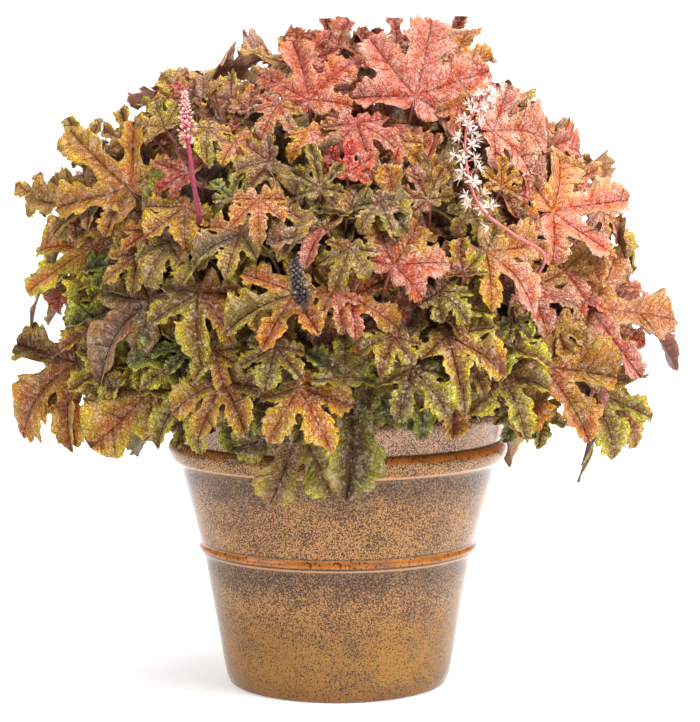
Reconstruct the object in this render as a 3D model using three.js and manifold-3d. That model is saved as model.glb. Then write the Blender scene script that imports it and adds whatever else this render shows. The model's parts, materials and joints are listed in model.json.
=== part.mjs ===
// A potted heucherella: a glazed flower pot full of soil, and a mound of lobed, toothed leaves
// on leafy stems, with three flower spikes. Millimetres, +Z up, origin under the pot's middle.
import * as THREE from "three";
import { mergeVertices } from "three/addons/utils/BufferGeometryUtils.js";
import Module from "manifold-3d";

const wasm = await Module();
wasm.setup();

// Pot
const POT_HEIGHT = 182;
const POT_BASE_RADIUS = 72.5;
const POT_WALL = 6;
const POT_FLOOR = 8;
const RIDGE_HEIGHT = 88;
const RIDGE_RADIUS = 91.6;
const BEAD_HEIGHT = 155;
const BEAD_RADIUS = 111;
const LIP_RADIUS = 112;
const POT_SIDES = 30;
const DRAIN_HOLES = 3;
const DRAIN_RADIUS = 6;
const DRAIN_CIRCLE = 38;

// Soil
const FIT_GAP = 0.3;
const SOIL_TOP = 169;
const SOIL_EDGE_DROP = 3;
const SOIL_SHOULDER = 14;
const SOIL_RELIEF = 5;
const SOIL_RINGS = [0.95, 0.6, 0.28];
const SOIL_SIDES = 15;
const HOLE_SIDES = 5;
const HOLE_BOTTOM = 150;
const HOLE_CLEARANCE = 3.2;

// Where the photograph was taken from, and how large it shows the plane through the pot's axis
const EYE = new THREE.Vector3(8, -1500, 350);
const MM_PER_PIXEL = 0.65;
const AXIS_COLUMN = 338;
const TOP_ROW_HEIGHT = 444.5;

// Mound of leaves: the surface on which the hubs of the outer leaves lie
const MOUND_HEIGHT = 225;
const MOUND_REACH = 172;
const MOUND_RISE = 190;
const MOUND_DROP = 110;
const MOUND_POWER = 2.5;
const CROWN = new THREE.Vector3(0, 0, 190);

// Leaf
const BLADE_HALF_THICKNESS = 0.42;
const BLADE_CLEARANCE = 0.55;
const LOBE_STEP = 50;
const LEAF_BACK_ANGLE = 128;
const LEAF_BACK_REACH = 0.34;
const LARGE_LEAF = 44;
const MEDIUM_LEAF = 34;
const PETIOLE_RADIUS = 1.25;
const PETIOLE_STEPS = 3;
const PETIOLE_INSET = 0.11;
const PETIOLE_CLEARANCE = 0.7;

// How a leaf's surface bends, as shares of its size: lift of each lobe, cup and midrib folds
const LOBE_LIFT = 0.3;
const CUP_LEAST = 0.1;
const CUP_RANGE = 0.22;
const FOLD_LEAST = 0.06;
const FOLD_RANGE = 0.16;

// How a petiole bends, as shares of its length, where it may start on its stem, and how far it
// is led sideways and up to pass the rim of the pot and the stalks of other nodes
const PETIOLE_BACK_BEND = 0.26;
const PETIOLE_UNDER_BEND = 0.2;
const PETIOLE_EASE = 0.35;
const PETIOLE_SPAN = 0.42;
const PETIOLE_LOWEST = 0.45;
const PETIOLE_DROPS = [0, 0.15, 0.3];
const PETIOLE_DETOURS = [0, 6, -6, 12, -12, 20, -20, 30, -30, 40, -40];
const PETIOLE_LIFT_STEP = 6;
const PETIOLE_MOST_LIFT = 90;
const STALK_SAMPLES = 40;
const STALK_GAP = 5;
const SPIKE_GAP = 8;

// Leafy stems
const STEM_RADIUS = 2.8;
const STEM_STEPS = 4;
const STEM_FOOT = HOLE_BOTTOM + FIT_GAP;

// The three leaf outlines: how far each lobe reaches, how deep it is cut, and how wide it is
const LEAF_KINDS = {
  palm: { reach: [0.66, 0.88, 1, 0.88, 0.66], cut: 0.44, width: 0.235, shoulder: 0.72 },
  long: { reach: [0.5, 0.74, 1, 0.74, 0.5], cut: 0.36, width: 0.2, shoulder: 0.7 },
  round: { reach: [0.4, 0.62, 1, 0.62, 0.4], cut: 0.52, width: 0.3, shoulder: 0.7 },
};

const TONES = {
  coral: 0xd5705f,
  red: 0xc0453d,
  peach: 0xd58a66,
  rust: 0xb56a35,
  amber: 0xc98a35,
  tan: 0xa88565,
  bronze: 0x86703f,
  olive: 0x7f8238,
  lime: 0xa9ae3c,
  green: 0x4f7033,
  plum: 0x75605c,
  maroon: 0x74403a,
};

// The large leaves that the photograph shows. Each row: column and row of the hub in the
// photograph, length of the middle lobe, the way it points in the picture in degrees (0 right,
// 90 up), turn and rise of the leaf's face, how much deeper than the mound's surface, tone, kind.
const FRONT_LEAVES = [
  [415, 96, 58, 75, 5, 20, 0, "coral", "palm"],
  [309, 99, 43, 100, -8, 12, 0, "coral", "palm"],
  [492, 130, 38, 12, 15, 22, 0, "coral", "palm"],
  [552, 210, 51, 14, 18, 15, 0, "coral", "palm"],
  [590, 307, 62, -4, 18, 22, -10, "peach", "palm"],
  [394, 264, 38, 58, 4, 22, -6, "amber", "palm"],
  [199, 291, 40, -100, -5, 32, 0, "olive", "palm"],
  [543, 366, 54, -50, 12, 24, 0, "rust", "palm"],
  [130, 188, 66, 140, -18, 22, 0, "bronze", "long"],
  [93, 245, 50, -146, -16, 25, 0, "amber", "palm"],
  [76, 361, 56, -150, -18, 24, 0, "olive", "palm"],
  [348, 382, 66, -80, 2, 14, 22, "olive", "long"],
  [299, 428, 50, -108, -4, 6, 24, "lime", "palm"],
  [222, 380, 38, -112, -6, 26, 0, "olive", "palm"],
  [295, 292, 43, 193, -4, 30, -4, "amber", "palm"],
  [349, 294, 38, 22, 4, 18, 4, "rust", "palm"],
  [486, 250, 40, -32, 8, 26, 0, "peach", "palm"],
  [412, 367, 37, -45, 3, 34, 0, "lime", "palm"],
  [500, 371, 39, -62, 8, 30, 4, "lime", "palm"],
  [592, 388, 48, -25, 18, 26, 14, "lime", "palm"],
  [105, 190, 50, 176, -24, 20, 10, "bronze", "palm"],
  [322, 226, 37, 152, -4, 30, 0, "tan", "palm"],
  [242, 232, 33, 200, -8, 38, 4, "tan", "palm"],
  [299, 386, 36, -62, -2, 28, 6, "amber", "palm"],
  [336, 56, 32, 84, 2, 26, 6, "coral", "palm"],
  [294, 64, 43, 162, -14, 34, 22, "peach", "long"],
  [452, 62, 36, 66, 10, 24, 18, "coral", "palm"],
  [357, 122, 33, -72, 4, 36, 2, "coral", "palm"],
  [540, 148, 38, -72, 14, 12, 6, "coral", "palm"],
  [545, 141, 31, 14, 26, 26, 12, "red", "palm"],
  [565, 268, 35, 42, 18, 22, 4, "coral", "palm"],
  [530, 286, 34, -20, 10, 34, 4, "coral", "palm"],
  [150, 298, 54, -143, -12, 22, 4, "plum", "round"],
  [158, 290, 36, 176, -14, 34, 12, "plum", "round"],
  [150, 388, 51, -133, -10, 20, 4, "amber", "round"],
  [74, 372, 48, -88, -14, 20, 10, "amber", "long"],
  [120, 358, 37, -156, -12, 34, 4, "olive", "palm"],
  [190, 388, 36, -138, -6, 24, 6, "lime", "palm"],
  [100, 212, 52, 178, -20, 44, 2, "tan", "long"],
  [130, 170, 42, 96, -42, 12, 18, "olive", "long"],
  [202, 98, 35, 148, -18, 30, 16, "tan", "palm"],
  [447, 338, 37, -26, 6, 40, 8, "lime", "palm"],
  [450, 383, 33, -74, 4, 14, 18, "lime", "palm"],
  [345, 376, 31, 92, 2, 14, 12, "green", "palm"],
  [381, 122, 35, -36, 6, 30, 16, "coral", "palm"],
  [497, 204, 31, 74, 6, 8, 10, "red", "palm"],
  [478, 232, 39, 136, 2, 22, 12, "tan", "long"],
  [500, 318, 40, 184, 4, 46, 14, "maroon", "palm"],
  [125, 302, 40, -152, -12, 26, 22, "green", "palm"],
  [228, 398, 32, -90, -2, 10, 30, "green", "long"],
  [500, 338, 33, -30, 8, 36, 8, "lime", "palm"],
  [378, 315, 33, -64, 4, 18, 14, "red", "palm"],
  [315, 182, 35, 166, -2, 44, 16, "maroon", "palm"],
  [180, 362, 31, 176, -6, 32, 12, "green", "palm"],
  [118, 372, 31, -130, -10, 22, 16, "bronze", "palm"],
];

// Filler leaves of the sides, the back and the top
const FILLER_TRIES = 150;
const FILLER_SPACING = 44;
const FILLER_SMALLEST = 43;
const FILLER_LARGEST = 60;
const FILLER_LOWEST_ANGLE = -24;
const FILLER_TOP_HEIGHT = 372;
const FILLER_FACE_OUT = 0.75;
const FILLER_FACE_UP = 0.4;
const FILLER_FACE_SWAY = 0.9;
const FILLER_POINT_DOWN = 0.8;
const FILLER_POINT_SWAY = 0.6;
const GOLDEN_ANGLE = 137.508;
const LAYOUT_SEED = 20127;

// How far a leaf is moved along its face and tilted to stay clear of its neighbours
const CLEARING_SHIFTS = [0, 4, -4, 8, -8, 12, -12];
const CLEARING_TILTS = [0, 12, -12, 24];
const POT_PENALTY = 5;

// Rings of leafy stems: lowest angle seen from the crown, count, first azimuth, where the stem
// leaves the soil, and where it ends. A stem rises steeply and then leans out.
const STEM_START_RISE = 0.45;
const STEM_BEND_RISE = 0.75;
const STEM_BEND_LEAN = 0.25;
const STEM_RINGS = [
  { above: 62, count: 1, first: 0, footRadius: 0, tipRadius: 0, tipHeight: 262 },
  { above: 36, count: 5, first: 18, footRadius: 22, tipRadius: 56, tipHeight: 250 },
  { above: 10, count: 8, first: 22.5, footRadius: 42, tipRadius: 82, tipHeight: 230 },
  { above: -90, count: 8, first: 0, footRadius: 64, tipRadius: 90, tipHeight: 208 },
];

// A star floret, as shares of its size, and how much smaller flowers get towards a spike's tip
const STAR_POINTS = 10;
const STAR_WAIST = 0.36;
const STAR_CUP = 0.1;
const STAR_DEPTH = 0.8;
const SPIKE_TAPER = 0.3;
const STALK_SIDES = 5;

// Flower spikes: where each stands in the soil, the points that the photograph shows it to pass
// (column, row, how far in front of the axis), its stalk, and what it bears
const SPIKES = [
  {
    name: "flower_spike_pink",
    foot: [-27.5, -66.5],
    route: [[214, 290, 96], [199, 212, 132], [192, 165, 138], [187, 120, 132], [186, 90, 126]],
    stalkRadius: 2.1,
    steps: 14,
    bloom: "bud",
    from: 0.78,
    count: 17,
    size: 2.7,
    spread: 3.1,
    color: 0xe0a49c,
  },
  {
    name: "flower_spike_white",
    foot: [27.5, -66.5],
    route: [
      [500, 320, 92], [531, 282, 118], [545, 254, 128], [512, 231, 142], [481, 206, 142],
      [467, 165, 134], [468, 122, 122], [495, 83, 108],
    ],
    stalkRadius: 1.6,
    steps: 20,
    bloom: "star",
    from: 0.54,
    count: 16,
    size: 6.6,
    spread: 6,
    color: 0xf3e9e2,
  },
  {
    name: "flower_spike_dark",
    foot: [17, -80],
    route: [[322, 348, 140], [306, 314, 178], [299, 286, 190], [295, 258, 192]],
    stalkRadius: 1.6,
    steps: 9,
    bloom: "bud",
    from: 0.76,
    count: 10,
    size: 2.6,
    spread: 2.6,
    color: 0x4b3a3c,
  },
];

// Rim of the pot, as an arching petiole has to clear it
const RIM_INNER = 96;
const RIM_OUTER = 116;
const RIM_CLEAR_HEIGHT = 187;
const ENVELOPE_TOP = 185;
const ENVELOPE_SHOULDER = 140;
const ENVELOPE_RADIUS = 113.5;

const POT_COLOR = 0xa9825c;
const SOIL_COLOR = 0x3a2a20;
const POT_ROUGHNESS = 0.25;
const SOIL_ROUGHNESS = 0.95;
const FLOWER_ROUGHNESS = 0.7;
const LEAF_ROUGHNESS = 0.6;

const Z_AXIS = new THREE.Vector3(0, 0, 1);

function vector(x, y, z) {
  return new THREE.Vector3(x, y, z);
}

function radians(degrees) {
  return THREE.MathUtils.degToRad(degrees);
}

// A repeatable stream of numbers from 0 to 1
function randomStream(seed) {
  let state = seed % 4294967296;
  return () => {
    state = (state * 1664525 + 1013904223) % 4294967296;
    return state / 4294967296;
  };
}

// Solids

function solidFrom(geometry) {
  const bare = geometry.clone();
  bare.deleteAttribute("normal");
  bare.deleteAttribute("uv");
  const merged = mergeVertices(bare, 1e-4);
  const mesh = new wasm.Mesh({
    numProp: 3,
    vertProperties: merged.attributes.position.array,
    triVerts: new Uint32Array(merged.index.array),
  });
  return new wasm.Manifold(mesh);
}

function geometryFrom(solid) {
  const mesh = solid.getMesh();
  const geometry = new THREE.BufferGeometry();
  const positions = new Float32Array(mesh.vertProperties);
  geometry.setAttribute("position", new THREE.BufferAttribute(positions, 3));
  geometry.setIndex(new THREE.BufferAttribute(new Uint32Array(mesh.triVerts), 1));
  const flat = geometry.toNonIndexed();
  flat.computeVertexNormals();
  return flat;
}

function largestPiece(solid) {
  const pieces = solid.decompose();
  return pieces.reduce((best, piece) => (piece.volume() > best.volume() ? piece : best));
}

function joined(solids) {
  return solids.reduce((whole, solid) => whole.add(solid));
}

function polygon(radius, sides) {
  const shape = new THREE.Shape();
  for (let i = 0; i < sides; i += 1) {
    const angle = (2 * Math.PI * i) / sides;
    const x = radius * Math.cos(angle);
    const y = radius * Math.sin(angle);
    if (i === 0) shape.moveTo(x, y);
    else shape.lineTo(x, y);
  }
  shape.closePath();
  return shape;
}

function tube(curve, radius, sides, steps) {
  const options = { steps, extrudePath: curve, bevelEnabled: false };
  return solidFrom(new THREE.ExtrudeGeometry(polygon(radius, sides), options));
}

// Pot

function potProfile() {
  const wallTop = BEAD_HEIGHT - 10;
  const upperWall = BEAD_RADIUS - 7.2;
  const underRidge = RIDGE_RADIUS - 3.2;
  const outer = [
    [0, 0],
    [POT_BASE_RADIUS - 3.5, 0],
    [POT_BASE_RADIUS - 0.8, 1.2],
    [POT_BASE_RADIUS, 4],
    [underRidge, RIDGE_HEIGHT - 3.6],
    [RIDGE_RADIUS, RIDGE_HEIGHT - 0.8],
    [RIDGE_RADIUS - 0.1, RIDGE_HEIGHT + 1.2],
    [RIDGE_RADIUS - 2, RIDGE_HEIGHT + 3],
    [upperWall, wallTop],
    [BEAD_RADIUS - 3.2, BEAD_HEIGHT - 7.5],
    [BEAD_RADIUS - 0.4, BEAD_HEIGHT - 3],
    [BEAD_RADIUS, BEAD_HEIGHT + 1],
    [BEAD_RADIUS - 1.4, BEAD_HEIGHT + 4.6],
    [BEAD_RADIUS - 3.7, BEAD_HEIGHT + 6.4],
    [BEAD_RADIUS - 2.6, BEAD_HEIGHT + 9],
    [LIP_RADIUS - 2, POT_HEIGHT - 9],
    [LIP_RADIUS, POT_HEIGHT - 4],
    [LIP_RADIUS - 1.6, POT_HEIGHT - 0.6],
    [LIP_RADIUS - 4, POT_HEIGHT],
    [LIP_RADIUS - 7, POT_HEIGHT - 3],
  ];
  const inner = [
    [innerRadius(BEAD_HEIGHT), BEAD_HEIGHT],
    [innerRadius(POT_FLOOR), POT_FLOOR],
    [0, POT_FLOOR],
  ];
  return outer.concat(inner).map(([radius, height]) => new THREE.Vector2(radius, height));
}

// Inner radius of the pot's wall at a height
function innerRadius(height) {
  const top = BEAD_RADIUS - 9.5;
  const slope = (top - POT_BASE_RADIUS) / BEAD_HEIGHT;
  return POT_BASE_RADIUS + slope * height - POT_WALL;
}

// A lathe turned upright, with Z as its axis
function turned(points, sides) {
  return solidFrom(new THREE.LatheGeometry(points, sides).rotateX(Math.PI / 2));
}

function uprightCylinder(radius, bottom, top, sides, place) {
  const geometry = new THREE.CylinderGeometry(radius, radius, top - bottom, sides);
  geometry.rotateX(Math.PI / 2);
  geometry.translate(place.x, place.y, (bottom + top) / 2);
  return solidFrom(geometry);
}

function onCircle(radius, degrees) {
  return vector(radius * Math.cos(radians(degrees)), radius * Math.sin(radians(degrees)), 0);
}

function makePot() {
  let pot = turned(potProfile(), POT_SIDES);
  for (let i = 0; i < DRAIN_HOLES; i += 1) {
    const place = onCircle(DRAIN_CIRCLE, 90 + (360 * i) / DRAIN_HOLES);
    pot = pot.subtract(uprightCylinder(DRAIN_RADIUS, -1, POT_FLOOR + 1, 8, place));
  }
  return pot;
}

// Soil: a plug that fills the pot, with low crumbs on top and a plain hole for each stem
function makeSoil(feet) {
  const random = randomStream(LAYOUT_SEED + 7);
  const bottom = POT_FLOOR + FIT_GAP;
  const edge = innerRadius(SOIL_TOP - SOIL_SHOULDER) - FIT_GAP;
  const points = [];
  points.push(new THREE.Vector2(0, bottom));
  points.push(new THREE.Vector2(innerRadius(POT_FLOOR) - FIT_GAP, bottom));
  points.push(new THREE.Vector2(edge, SOIL_TOP - SOIL_SHOULDER));
  points.push(new THREE.Vector2(edge, SOIL_TOP - SOIL_EDGE_DROP));
  SOIL_RINGS.forEach((share) => points.push(new THREE.Vector2(edge * share, SOIL_TOP)));
  points.push(new THREE.Vector2(0, SOIL_TOP));
  const lathe = new THREE.LatheGeometry(points, SOIL_SIDES).rotateX(Math.PI / 2);
  lathe.deleteAttribute("normal");
  lathe.deleteAttribute("uv");
  const plug = mergeVertices(lathe, 1e-4);
  const place = plug.attributes.position;
  for (let i = 0; i < place.count; i += 1) {
    if (place.getZ(i) > SOIL_TOP - 1) place.setZ(i, SOIL_TOP + SOIL_RELIEF * (random() - 0.5));
  }
  let soil = solidFrom(plug);
  feet.forEach((foot) => {
    const radius = foot.radius + HOLE_CLEARANCE;
    const hole = uprightCylinder(radius, HOLE_BOTTOM, SOIL_TOP + 12, HOLE_SIDES, foot.place);
    soil = soil.subtract(hole);
  });
  return soil;
}

// Leaves: layout

function axisPlanePoint(column, row) {
  const x = (column - AXIS_COLUMN) * MM_PER_PIXEL;
  return vector(x, 0, TOP_ROW_HEIGHT - row * MM_PER_PIXEL);
}

// A point that the photograph shows at a pixel, so far in front of the pot's axis
function seenPoint(column, row, ahead) {
  const share = 1 - ahead / -EYE.y;
  return axisPlanePoint(column, row).sub(EYE).multiplyScalar(share).add(EYE);
}

// How far the mound's surface lies in front of the axis, behind a pixel
function moundDepth(column, row) {
  const seen = axisPlanePoint(column, row);
  const across = Math.sqrt(Math.max(0, MOUND_REACH ** 2 - seen.x ** 2));
  const up = (seen.z - MOUND_HEIGHT) / MOUND_RISE;
  const down = (MOUND_HEIGHT - seen.z) / MOUND_DROP;
  const share = up > 0 ? Math.sqrt(Math.max(0, 1 - up ** 2)) : Math.max(0, 1 - down ** 4);
  return across * share;
}

function leafShape(seed) {
  const random = randomStream(seed);
  const lifts = [];
  for (let i = 0; i < 5; i += 1) lifts.push(LOBE_LIFT * (random() - 0.5));
  const cup = CUP_LEAST + CUP_RANGE * random();
  const fold = FOLD_LEAST + FOLD_RANGE * random();
  return { lifts, cup, fold };
}

function frontLeaf(row, index) {
  const [column, line, size, spin, turn, rise, deeper, tone, kind] = row;
  const ahead = Math.max(0, moundDepth(column, line) - deeper);
  const hub = seenPoint(column, line, ahead);
  const face = vector(
    Math.sin(radians(turn)) * Math.cos(radians(rise)),
    -Math.cos(radians(turn)) * Math.cos(radians(rise)),
    Math.sin(radians(rise)),
  );
  const pointing = vector(Math.cos(radians(spin)), 0, Math.sin(radians(spin)));
  const sight = Math.min(face.y, -0.3);
  pointing.y = -pointing.dot(face) / sight;
  const forward = pointing.addScaledVector(face, -pointing.dot(face)).normalize();
  return { hub, face, forward, size, tone, kind, ...leafShape(LAYOUT_SEED + 31 * index) };
}

function moundPoint(azimuth, angle) {
  const across = Math.cos(radians(angle));
  const up = Math.sin(radians(angle));
  const sum = Math.abs(across) ** MOUND_POWER + Math.abs(up) ** MOUND_POWER;
  const reach = sum ** (-1 / MOUND_POWER);
  const rise = up > 0 ? MOUND_RISE : MOUND_DROP;
  const flat = onCircle(MOUND_REACH * across * reach, azimuth);
  return vector(flat.x, flat.y, MOUND_HEIGHT + rise * up * reach);
}

// Tone by place: coral and red high on the right, bronze and olive on the left, lime below
function toneAt(hub, draw) {
  if (hub.z > 330) return draw < 0.55 ? "coral" : draw < 0.8 ? "peach" : "tan";
  if (hub.z < 205) return draw < 0.4 ? "lime" : draw < 0.7 ? "olive" : draw < 0.85 ? "green" : "amber";
  if (hub.x > 40) return draw < 0.5 ? "coral" : draw < 0.7 ? "rust" : draw < 0.85 ? "peach" : "olive";
  if (hub.x < -60) return draw < 0.35 ? "bronze" : draw < 0.6 ? "olive" : draw < 0.8 ? "amber" : "tan";
  return draw < 0.35 ? "tan" : draw < 0.6 ? "rust" : draw < 0.8 ? "bronze" : "olive";
}

function fillerLeaf(hub, random, index) {
  const outward = hub.clone().sub(CROWN).normalize();
  const sway = vector(random() - 0.5, random() - 0.5, random() - 0.5);
  const face = outward.clone().multiplyScalar(FILLER_FACE_OUT);
  face.addScaledVector(Z_AXIS, FILLER_FACE_UP).addScaledVector(sway, FILLER_FACE_SWAY).normalize();
  const pointing = vector(random() - 0.5, random() - 0.5, 0).multiplyScalar(FILLER_POINT_SWAY);
  if (hub.z < FILLER_TOP_HEIGHT) pointing.add(outward).addScaledVector(Z_AXIS, -FILLER_POINT_DOWN);
  const forward = pointing.addScaledVector(face, -pointing.dot(face)).normalize();
  const size = FILLER_SMALLEST + (FILLER_LARGEST - FILLER_SMALLEST) * random();
  const tone = toneAt(hub, random());
  const shape = leafShape(LAYOUT_SEED + 977 + 31 * index);
  return { hub, face, forward, size, tone, kind: "palm", ...shape };
}

function fillerLeaves(existing) {
  const random = randomStream(LAYOUT_SEED);
  const hubs = existing.map((leaf) => leaf.hub);
  const lowest = Math.sin(radians(FILLER_LOWEST_ANGLE));
  const made = [];
  for (let i = 0; i < FILLER_TRIES; i += 1) {
    const level = lowest + (0.998 - lowest) * ((i + 0.5) / FILLER_TRIES);
    const angle = THREE.MathUtils.radToDeg(Math.asin(level));
    const hub = moundPoint(GOLDEN_ANGLE * i, angle);
    if (hubs.some((other) => other.distanceTo(hub) < FILLER_SPACING)) continue;
    hubs.push(hub);
    made.push(fillerLeaf(hub, random, made.length));
  }
  return made;
}

// The height of a leaf's surface over its flat plan, as shares of its size
function bladeHeight(leaf, degrees, reach) {
  const lobe = Math.min(2, Math.max(-2, degrees / LOBE_STEP));
  const lower = Math.min(1, Math.floor(lobe));
  const share = lobe - lower;
  const lift = leaf.lifts[lower + 2] * (1 - share) + leaf.lifts[lower + 3] * share;
  const nearest = Math.round(lobe) * LOBE_STEP;
  const beside = Math.min(0.5, Math.abs(Math.sin(radians(degrees - nearest))));
  return (lift - leaf.cup) * reach ** 2 + leaf.fold * beside * reach;
}

// The outline of a leaf in its own plan: angle from the middle lobe and reach, for each point.
// The outer lobes of the smaller leaves are plain points, without shoulders.
function bladeOutline(leaf) {
  const { reach, cut, width, shoulder } = LEAF_KINDS[leaf.kind];
  const spread = THREE.MathUtils.radToDeg(Math.atan(width / shoulder));
  const broad = leaf.size >= LARGE_LEAF ? 2 : leaf.size >= MEDIUM_LEAF ? 1 : 0;
  const points = [[-LEAF_BACK_ANGLE, LEAF_BACK_REACH]];
  for (let lobe = -2; lobe <= 2; lobe += 1) {
    const length = reach[lobe + 2];
    const middle = lobe * LOBE_STEP;
    const side = length * Math.hypot(shoulder, width);
    if (Math.abs(lobe) <= broad) points.push([middle - spread, side]);
    points.push([middle, length]);
    if (Math.abs(lobe) <= broad) points.push([middle + spread, side]);
    if (lobe < 2) points.push([middle + LOBE_STEP / 2, cut * (0.7 + 0.3 * length)]);
  }
  points.push([LEAF_BACK_ANGLE, LEAF_BACK_REACH]);
  return points;
}

// The hub and the outline of a leaf in space, moved along its face by a thickness
function bladePoints(leaf, offset, grow) {
  const side = leaf.face.clone().cross(leaf.forward);
  const points = [leaf.hub.clone().addScaledVector(leaf.face, offset)];
  bladeOutline(leaf).forEach(([degrees, reach]) => {
    const along = leaf.size * reach + grow;
    const point = leaf.hub.clone();
    point.addScaledVector(leaf.forward, along * Math.cos(radians(degrees)));
    point.addScaledVector(side, along * Math.sin(radians(degrees)));
    const height = leaf.size * bladeHeight(leaf, degrees, reach);
    points.push(point.addScaledVector(leaf.face, height + offset));
  });
  return points;
}

function segmentCrossesTriangle(start, end, a, b, c) {
  const along = end.clone().sub(start);
  const edge1 = b.clone().sub(a);
  const edge2 = c.clone().sub(a);
  const normal = along.clone().cross(edge2);
  const det = edge1.dot(normal);
  if (Math.abs(det) < 1e-9) return false;
  const from = start.clone().sub(a);
  const u = from.dot(normal) / det;
  if (u < 0 || u > 1) return false;
  const turn = from.cross(edge1);
  const v = along.dot(turn) / det;
  if (v < 0 || u + v > 1) return false;
  const t = edge2.dot(turn) / det;
  return t >= 0 && t <= 1;
}

function countCrossings(edgesOf, facesOf) {
  let count = 0;
  const last = edgesOf.length - 1;
  for (let i = 1; i <= last; i += 1) {
    const next = i < last ? i + 1 : 1;
    for (let j = 1; j < facesOf.length; j += 1) {
      const after = j < facesOf.length - 1 ? j + 1 : 1;
      const face = [facesOf[0], facesOf[j], facesOf[after]];
      if (segmentCrossesTriangle(edgesOf[0], edgesOf[i], ...face)) count += 1;
      if (segmentCrossesTriangle(edgesOf[i], edgesOf[next], ...face)) count += 1;
    }
  }
  return count;
}

// The outside of the pot, with some room, that no leaf goes into
function envelopeRadius(height) {
  const slope = (BEAD_RADIUS - 6 - POT_BASE_RADIUS) / ENVELOPE_SHOULDER;
  return height < ENVELOPE_SHOULDER ? POT_BASE_RADIUS + 1 + slope * height : ENVELOPE_RADIUS;
}

function insidePot(point) {
  return point.z < ENVELOPE_TOP && Math.hypot(point.x, point.y) < envelopeRadius(point.z);
}

function movedLeaf(leaf, shift, tilt) {
  const cos = Math.cos(radians(tilt));
  const sin = Math.sin(radians(tilt));
  return {
    ...leaf,
    hub: leaf.hub.clone().addScaledVector(leaf.face, shift),
    face: leaf.face.clone().multiplyScalar(cos).addScaledVector(leaf.forward, sin),
    forward: leaf.forward.clone().multiplyScalar(cos).addScaledVector(leaf.face, -sin),
  };
}

// Bends a leaf clear of the leaves already placed, as far as small moves can do it
function clearedLeaf(leaf, placed) {
  let best = leaf;
  let least = Infinity;
  for (const shift of CLEARING_SHIFTS) {
    for (const tilt of CLEARING_TILTS) {
      const moved = movedLeaf(leaf, shift, tilt);
      const points = bladePoints(moved, 0, 0);
      let count = POT_PENALTY * points.filter(insidePot).length;
      for (const other of placed) {
        if (count >= least) break;
        if (other.hub.distanceTo(moved.hub) > other.size + moved.size) continue;
        count += countCrossings(points, other.points) + countCrossings(other.points, points);
      }
      if (count < least) {
        least = count;
        best = { ...moved, points };
      }
      if (least === 0) return best;
    }
  }
  return best;
}

function layLeaves() {
  const front = FRONT_LEAVES.map(frontLeaf);
  const placed = [];
  front.concat(fillerLeaves(front)).forEach((leaf) => placed.push(clearedLeaf(leaf, placed)));
  return placed;
}

// Leafy stems

function stemAxes() {
  const stems = [];
  STEM_RINGS.forEach((ring, level) => {
    for (let i = 0; i < ring.count; i += 1) {
      const azimuth = ring.first + (360 * i) / ring.count;
      const foot = onCircle(ring.footRadius, azimuth).setZ(STEM_FOOT);
      const tip = onCircle(ring.tipRadius, azimuth).setZ(ring.tipHeight);
      const rise = tip.z - foot.z;
      const start = foot.clone().setZ(foot.z + STEM_START_RISE * rise);
      const bend = foot.clone().lerp(tip, STEM_BEND_LEAN).setZ(foot.z + STEM_BEND_RISE * rise);
      stems.push({ level, azimuth, foot, curve: new THREE.CubicBezierCurve3(foot, start, bend, tip) });
    }
  });
  return stems;
}

function stemFor(hub, stems) {
  const from = hub.clone().sub(CROWN);
  const angle = THREE.MathUtils.radToDeg(Math.atan2(from.z, Math.hypot(from.x, from.y)));
  const azimuth = THREE.MathUtils.radToDeg(Math.atan2(from.y, from.x));
  const level = STEM_RINGS.findIndex((ring) => angle > ring.above);
  const turn = (stem) => THREE.MathUtils.euclideanModulo(stem.azimuth - azimuth + 180, 360);
  const away = (stem) => Math.abs(turn(stem) - 180);
  const ring = stems.filter((stem) => stem.level === level);
  return ring.reduce((best, stem) => (away(stem) < away(best) ? stem : best));
}

function clearsRim(curve) {
  return curve.getPoints(16).every((point) => {
    const radius = Math.hypot(point.x, point.y);
    return radius < RIM_INNER || radius > RIM_OUTER || point.z > RIM_CLEAR_HEIGHT;
  });
}

function petioleCurve(leaf, start, lift, sideways) {
  const end = leaf.hub.clone().addScaledVector(leaf.forward, -PETIOLE_INSET * leaf.size);
  const length = start.distanceTo(end);
  const bend = end.clone();
  bend.addScaledVector(leaf.forward, -PETIOLE_BACK_BEND * length);
  bend.addScaledVector(leaf.face, -PETIOLE_UNDER_BEND * length);
  bend.lerp(start.clone().lerp(end, 0.5), PETIOLE_EASE);
  const across = end.clone().sub(start).cross(Z_AXIS).normalize();
  bend.addScaledVector(across, sideways).addScaledVector(Z_AXIS, lift);
  return new THREE.QuadraticBezierCurve3(start, bend, end);
}

function closestApproach(points, others) {
  let closest = Infinity;
  points.forEach((point) => {
    others.forEach((other) => {
      closest = Math.min(closest, point.distanceTo(other));
    });
  });
  return closest;
}

// A petiole's route over the rim and past the stalks of the other nodes, from one of several
// places on its stem
function petioleRoute(leaf, stem, share, stalks, spikePoints) {
  let best = null;
  let widest = -Infinity;
  for (const sideways of PETIOLE_DETOURS) {
    for (const drop of PETIOLE_DROPS) {
      const start = stem.curve.getPoint(Math.max(PETIOLE_LOWEST, share - drop));
      let lift = 0;
      let curve = petioleCurve(leaf, start, lift, sideways);
      while (!clearsRim(curve) && lift < PETIOLE_MOST_LIFT) {
        lift += PETIOLE_LIFT_STEP;
        curve = petioleCurve(leaf, start, lift, sideways);
      }
      const points = curve.getPoints(STALK_SAMPLES);
      const fromStalks = closestApproach(points, stalks) - STALK_GAP;
      const gap = Math.min(fromStalks, closestApproach(points, spikePoints) - SPIKE_GAP);
      if (gap > 0) return curve;
      if (gap > widest) {
        widest = gap;
        best = curve;
      }
    }
  }
  return best;
}

// Leaf blades

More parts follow.
